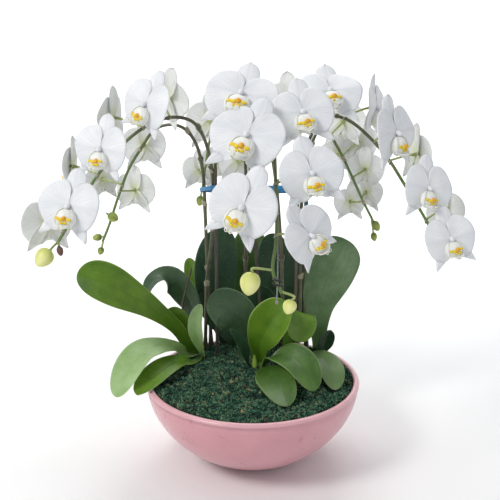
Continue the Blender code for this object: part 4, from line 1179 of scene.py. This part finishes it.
def add_sepal(shape, degrees, length, width, lean, bluntness, rng, thickness):
    """A narrower blade behind the petals, with a blunt or a pointed tip."""
    along, across, marks = mesh_grid(16, 13)
    rise = np.clip(1 - along / SEPAL_BROAD_AT, 0, 1)
    fall = np.clip((along - SEPAL_BROAD_AT) / (1 - SEPAL_BROAD_AT), 0, 1)
    swelling = 0.20 + 0.80 * np.sqrt(1 - rise ** 2)
    narrowing = np.maximum(0.0004, 1 - fall ** (1 + bluntness)) ** (1 - bluntness / 2.8)
    half = width / 2 * np.where(along < SEPAL_BROAD_AT, swelling, narrowing)
    phase = any_angle(rng)
    out = length * along
    side = half * across
    bowing = -0.030 - lean * along + 0.05 * along ** 2 - 0.10 * width * across ** 2
    rib = 0.010 * np.exp(-(across / 0.12) ** 2) * along
    twist = 0.008 * np.sin(5 * along + phase) * across
    angle = math.radians(degrees)
    x = out * math.cos(angle) + side * math.sin(angle)
    y = out * math.sin(angle) - side * math.cos(angle)
    grid = np.stack([x, y, bowing - rib + twist], axis=-1)
    shape.sheet(grid, thickness, marks, "petal_back", "petal")


def add_side_lobe(shape, side, thickness):
    """One of the two upright lobes that close round the lip's heart like a cup."""
    along, across, marks = mesh_grid(12, 17)
    turn = math.radians(2) + across * LOBE_TURN
    top = LOBE_TOP - math.radians(36) * np.abs(across - 0.10) ** 1.8
    rise = LOBE_BOTTOM + (top - LOBE_BOTTOM) * along
    x = CUP_CENTRE[0] + side * CUP_RADII[0] * np.cos(rise) * np.cos(turn)
    y = CUP_CENTRE[1] + CUP_RADII[1] * np.cos(rise) * np.sin(turn)
    z = CUP_CENTRE[2] + CUP_RADII[2] * np.sin(rise)
    shape.sheet(np.stack([x, y, z], axis=-1), thickness, marks, "lip", "lip")


def add_middle_lobe(shape, thickness):
    """The lip's tongue: a short scoop below the cup that narrows to its tip."""
    along, across, marks = mesh_grid(14, 13)
    half = 0.090 + 0.050 * np.sin(np.pi * along ** 0.9) - 0.066 * along ** 3
    curl = 0.060 * across ** 2 * (0.4 + 0.6 * along)
    y = -0.300 - 0.105 * np.sin(0.5 * np.pi * along) + curl
    z = 0.020 + 0.160 * along + curl * 0.6
    grid = np.stack([half * across, y, z], axis=-1)
    # The marks start part of the way along, because the flush belongs to the cup above.
    marks = np.stack([0.45 + 0.55 * marks[..., 0], marks[..., 1]], axis=-1)
    shape.sheet(grid, thickness, marks, "lip", "lip")


def add_tendrils(shape):
    """Two thin horns that curl back up from the tongue's tip."""
    for side in (-1, 1):
        points = [(0.010, -0.398, 0.178), (0.034, -0.412, 0.192), (0.058, -0.392, 0.202),
                  (0.058, -0.360, 0.204), (0.036, -0.350, 0.198)]
        route = smooth_route([(side * x, y, z) for x, y, z in points], 4)
        shape.tube(route, np.linspace(0.008, 0.003, len(route)), 8, "throat")


def add_column(shape):
    """The short white column over the lip, with its rounded cap."""
    points = [(0, 0.015, -0.015), (0, -0.002, 0.035), (0, -0.028, 0.075), (0, -0.058, 0.100)]
    route = smooth_route(points, 4)
    shares = np.linspace(0, 1, len(route))
    radii = 0.024 + 0.016 * np.sin(np.pi * shares ** 1.3)
    radii[-1] = 0.014
    shape.tube(route, radii, 16, "petal")


def dome_height(x, y):
    """How far forward the dome in the cup stands at a place."""
    across, up = x / DOME_RADII[0], (y - CUP_CENTRE[1]) / DOME_RADII[1]
    return CUP_CENTRE[2] + DOME_RADII[2] * math.sqrt(1 - across ** 2 - up ** 2)


def add_callus(shape, rng):
    """The yellow callus across the cup: two outer flecks, and a raised deeper middle."""
    lift = rng.uniform(-0.012, 0.012)
    for x, y, share, radii, finish_name in CALLUS:
        place = (x, y + lift * share, dome_height(x, y + lift * share))
        shape.blob(place, radii, finish_name, 7, 14)


def pedicel_route(matrix, width, stem_place):
    """The stalk from inside the flower's back to the stem."""
    start = matrix @ Vector((0, 0, -0.005 * width))
    knee = matrix @ Vector((0, 0, -PEDICEL_KNEE * width))
    shares = np.linspace(0.0, 1.0, 12)
    return [start * (1 - t) ** 2 + knee * 2 * t * (1 - t) + stem_place * t * t for t in shares]


def add_flower(name, flower, route, finishes, rng, nodes):
    """One flower: petals, sepals, lip, column and callus, on its stalk from the stem."""
    width = flower[-1]
    thickness = PETAL_THICKNESS / width
    shape = Shape("petal", "petal_back", "lip", "throat", "callus", "callus_deep", "pedicel")
    for side in (1, -1):
        add_petal(shape, side, rng, thickness)
    for degrees, varies, *form in SEPALS:
        add_sepal(shape, degrees + rng.uniform(-varies, varies), *form, rng, thickness)
    for side in (1, -1):
        add_side_lobe(shape, side, thickness)
    shape.blob(CUP_CENTRE, DOME_RADII, "throat", 11, 24)
    add_middle_lobe(shape, thickness)
    add_tendrils(shape)
    add_column(shape)
    add_callus(shape, rng)
    matrix = flower_matrix(flower)
    shape.transform(matrix @ Matrix.Scale(width, 4))
    stalk = pedicel_route(matrix, width, route[attach_index(flower, route)])
    radii = [PEDICEL_RADIUS * (1 + 0.9 * math.exp(-(k / 2.5) ** 2)) for k in range(len(stalk))]
    shape.tube(stalk, radii, 10, "pedicel")
    shape.make(name, finishes, nodes)


# ---- Small things -------------------------------------------------------------------------
def add_front_crown(finishes):
    """The pale green foot of a young shoot at the front."""
    foot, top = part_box("front_crown")
    x, y = (foot[0] + top[0]) / 2, (foot[1] + top[1]) / 2
    bend = 0.125
    route = smooth_route([(x, y, foot[2]), (x, y, bend), (x - 0.002, y - 0.001, top[2])], 8)
    shares = np.linspace(0, 1, len(route))
    shape = Shape("crown")
    shape.tube(route, FRONT_CROWN_RADIUS * (1 - 0.75 * shares ** 2), 20, "crown")
    shape.make("crown_front", finishes, ["front_crown"])


def add_stake(name, stake, finishes):
    """A thin split cane: nearly round, a little uneven along its length."""
    low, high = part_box("stake_" + name)
    foot, top = (Vector((*stake[0], low[2])), Vector((*stake[1], high[2])))
    steps = 30
    route = [foot.lerp(top, share) for share in np.linspace(0, 1, steps)]
    radii = [STAKE_RADIUS * (1 + 0.05 * math.sin(index * 1.9)) for index in range(steps)]
    radii[-1] *= 0.7
    shape = Shape("stake")
    shape.tube(route, radii, 12, "stake")
    shape.make("cane_" + name, finishes, ["stake_" + name])


def add_band(shape, route, height, thickness, finish_name):
    """A flat closed band round a route in plan."""
    count = len(route)
    places, faces = [], []
    for index, place in enumerate(route):
        ahead = (route[(index + 1) % count] - route[index - 1]).normalized()
        outwards = Vector((ahead.y, -ahead.x, 0.0)) * thickness / 2
        rise = Vector((0, 0, height / 2))
        places += [place + outwards - rise, place + outwards + rise,
                   place - outwards + rise, place - outwards - rise]
    for index in range(count):
        near, after = 4 * index, 4 * ((index + 1) % count)
        faces += [(near + k, after + k, after + (k + 1) % 4, near + (k + 1) % 4)
                  for k in range(4)]
    shape.add([tuple(place) for place in places], faces, finish_name)


def add_tie(finishes):
    """The blue tie round the stems, with a knot and a short tail at its right end."""
    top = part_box("spike_tie")[1][2] - TIE_HEIGHT / 2
    corners = [Vector((x, y, top - (y - TIE_ROUTE[0][1]) * TIE_SLOPE)) for x, y in TIE_ROUTE]
    closed = corners[-1:] + corners + corners[:2]
    steps = 6
    shape = Shape("tie", "tie_dark")
    route = smooth_route(closed, steps)[steps:-steps - 1]
    add_band(shape, route, TIE_HEIGHT, TIE_THICKNESS, "tie")
    knot = Vector((*TIE_KNOT, top))
    shape.blob(knot, KNOT_RADII, "tie")
    tail = smooth_route([knot] + [knot + Vector(place) for place in TIE_TAIL], 5)
    shape.tube(tail, [TAIL_RADIUS] * len(tail), 4, "tie_dark")
    shape.make("tie_band", finishes, ["spike_tie"])


def add_old_stem(finishes):
    """A dry stub of an earlier flower stem behind the leaves on the left."""
    shape = Shape("stake")
    route = smooth_route(OLD_STEM_ROUTE, 8)
    along, tip = OLD_STEM_RADII
    shape.tube(route, [along] * (len(route) - 1) + [tip], 10, "stake")
    shape.make("old_stem", finishes)


def add_tip_support(finishes):
    """The thin wire beside the drooping tip of the centre stem, with its black clip."""
    shape = Shape("wire", "clip")
    route = smooth_route(WIRE_ROUTE, 8)
    shape.tube(route, [WIRE_RADIUS] * len(route), 8, "wire")
    clip = smooth_route(CLIP_ROUTE, 6)
    shape.tube(clip, [CLIP_RADIUS] * len(clip), 8, "clip")
    shape.blob(WIRE_BEAD, BEAD_RADII, "wire")
    shape.make("tip_support", finishes)


# ---- Stage --------------------------------------------------------------------------------
def add_stage(finishes):
    """A round pale floor whose far edge curves up out of sight."""
    flat, rise, steps = 3.0, 2.5, 96
    curve = [(flat + rise * math.sin(angle), rise - rise * math.cos(angle))
             for angle in np.radians(np.linspace(0, 85, 18))]
    profile = [(0.3, 0.0), (1.0, 0.0), (2.0, 0.0)] + curve
    places = np.concatenate([[(0, 0, 0)]] + [ring(radius, steps, z) for radius, z in profile])
    faces = [(0, 1 + k, 1 + (k + 1) % steps) for k in range(steps)]
    for row in range(len(profile) - 1):
        near = 1 + row * steps
        far = near + steps
        faces += [(near + k, far + k, far + (k + 1) % steps, near + (k + 1) % steps)
                  for k in range(steps)]
    mesh = bpy.data.meshes.new("floor")
    mesh.from_pydata(places.tolist(), [], faces)
    mesh.materials.append(finishes["floor"])
    mesh.shade_smooth()
    link("floor", mesh)


def add_lights():
    """Soft studio lights, and an even pale world."""
    for name, place, target, size, watts, colour in LIGHTS:
        data = bpy.data.lights.new(name, "AREA")
        data.shape = "DISK"
        data.size = size
        data.energy = watts
        data.color = colour
        light = link(name, data)
        light.location = place
        way = Vector(target) - Vector(place)
        light.rotation_euler = way.to_track_quat("-Z", "Y").to_euler()
    world = bpy.data.worlds.new("studio")
    world.use_nodes = True
    background = world.node_tree.nodes["Background"]
    background.inputs["Color"].default_value = WORLD_COLOUR
    background.inputs["Strength"].default_value = WORLD_STRENGTH
    bpy.context.scene.world = world


def add_camera():
    """The camera stands at the front and looks a little down on the plant, in plain colours."""
    data = bpy.data.cameras.new("camera")
    data.sensor_width = CAMERA_SENSOR
    data.lens = CAMERA_LENS
    camera = link("camera", data)
    camera.location = CAMERA_PLACE
    camera.rotation_euler = (math.radians(CAMERA_TILT), 0.0, 0.0)
    bpy.context.scene.camera = camera
    bpy.context.scene.view_settings.view_transform = "Standard"


# ---- Assembly -----------------------------------------------------------------------------
def add_plants(finishes, rng):
    """Every leaf, stem and flower. The ones behind stand for no CAD node."""
    for name, leaf in LEAVES.items():
        add_leaf(name, leaf, finishes, rng, ["leaf_" + name])
    for name, leaf in LEAVES_BEHIND.items():
        add_leaf(name, leaf, finishes, rng, [])
    for name, spike in SPIKES.items():
        route = add_spike(name, spike, finishes, rng)
        for number, flower in enumerate(spike["flowers"], 1):
            add_flower(f"bloom_{name}_{number}", flower, route, finishes, rng,
                       [f"flower_{name}_{number}"])
        for number, flower in enumerate(spike.get("hidden", []), 1):
            add_flower(f"bloom_{name}_hidden_{number}", flower, route, finishes, rng, [])


def main():
    rng = np.random.default_rng(SEED)
    finishes = make_finishes()
    add_camera()
    add_lights()
    add_stage(finishes)

    add_bowl(finishes)
    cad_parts["growing_medium"].data.materials.clear()
    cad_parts["growing_medium"].data.materials.append(finishes["medium"])
    add_moss(finishes)
    add_moss_sprigs(finishes, rng)
    add_moss_bits(finishes, rng)
    add_plants(finishes, rng)
    add_front_crown(finishes)
    for name, stake in STAKES.items():
        add_stake(name, stake, finishes)
    add_tie(finishes)
    add_old_stem(finishes)
    add_tip_support(finishes)


main()
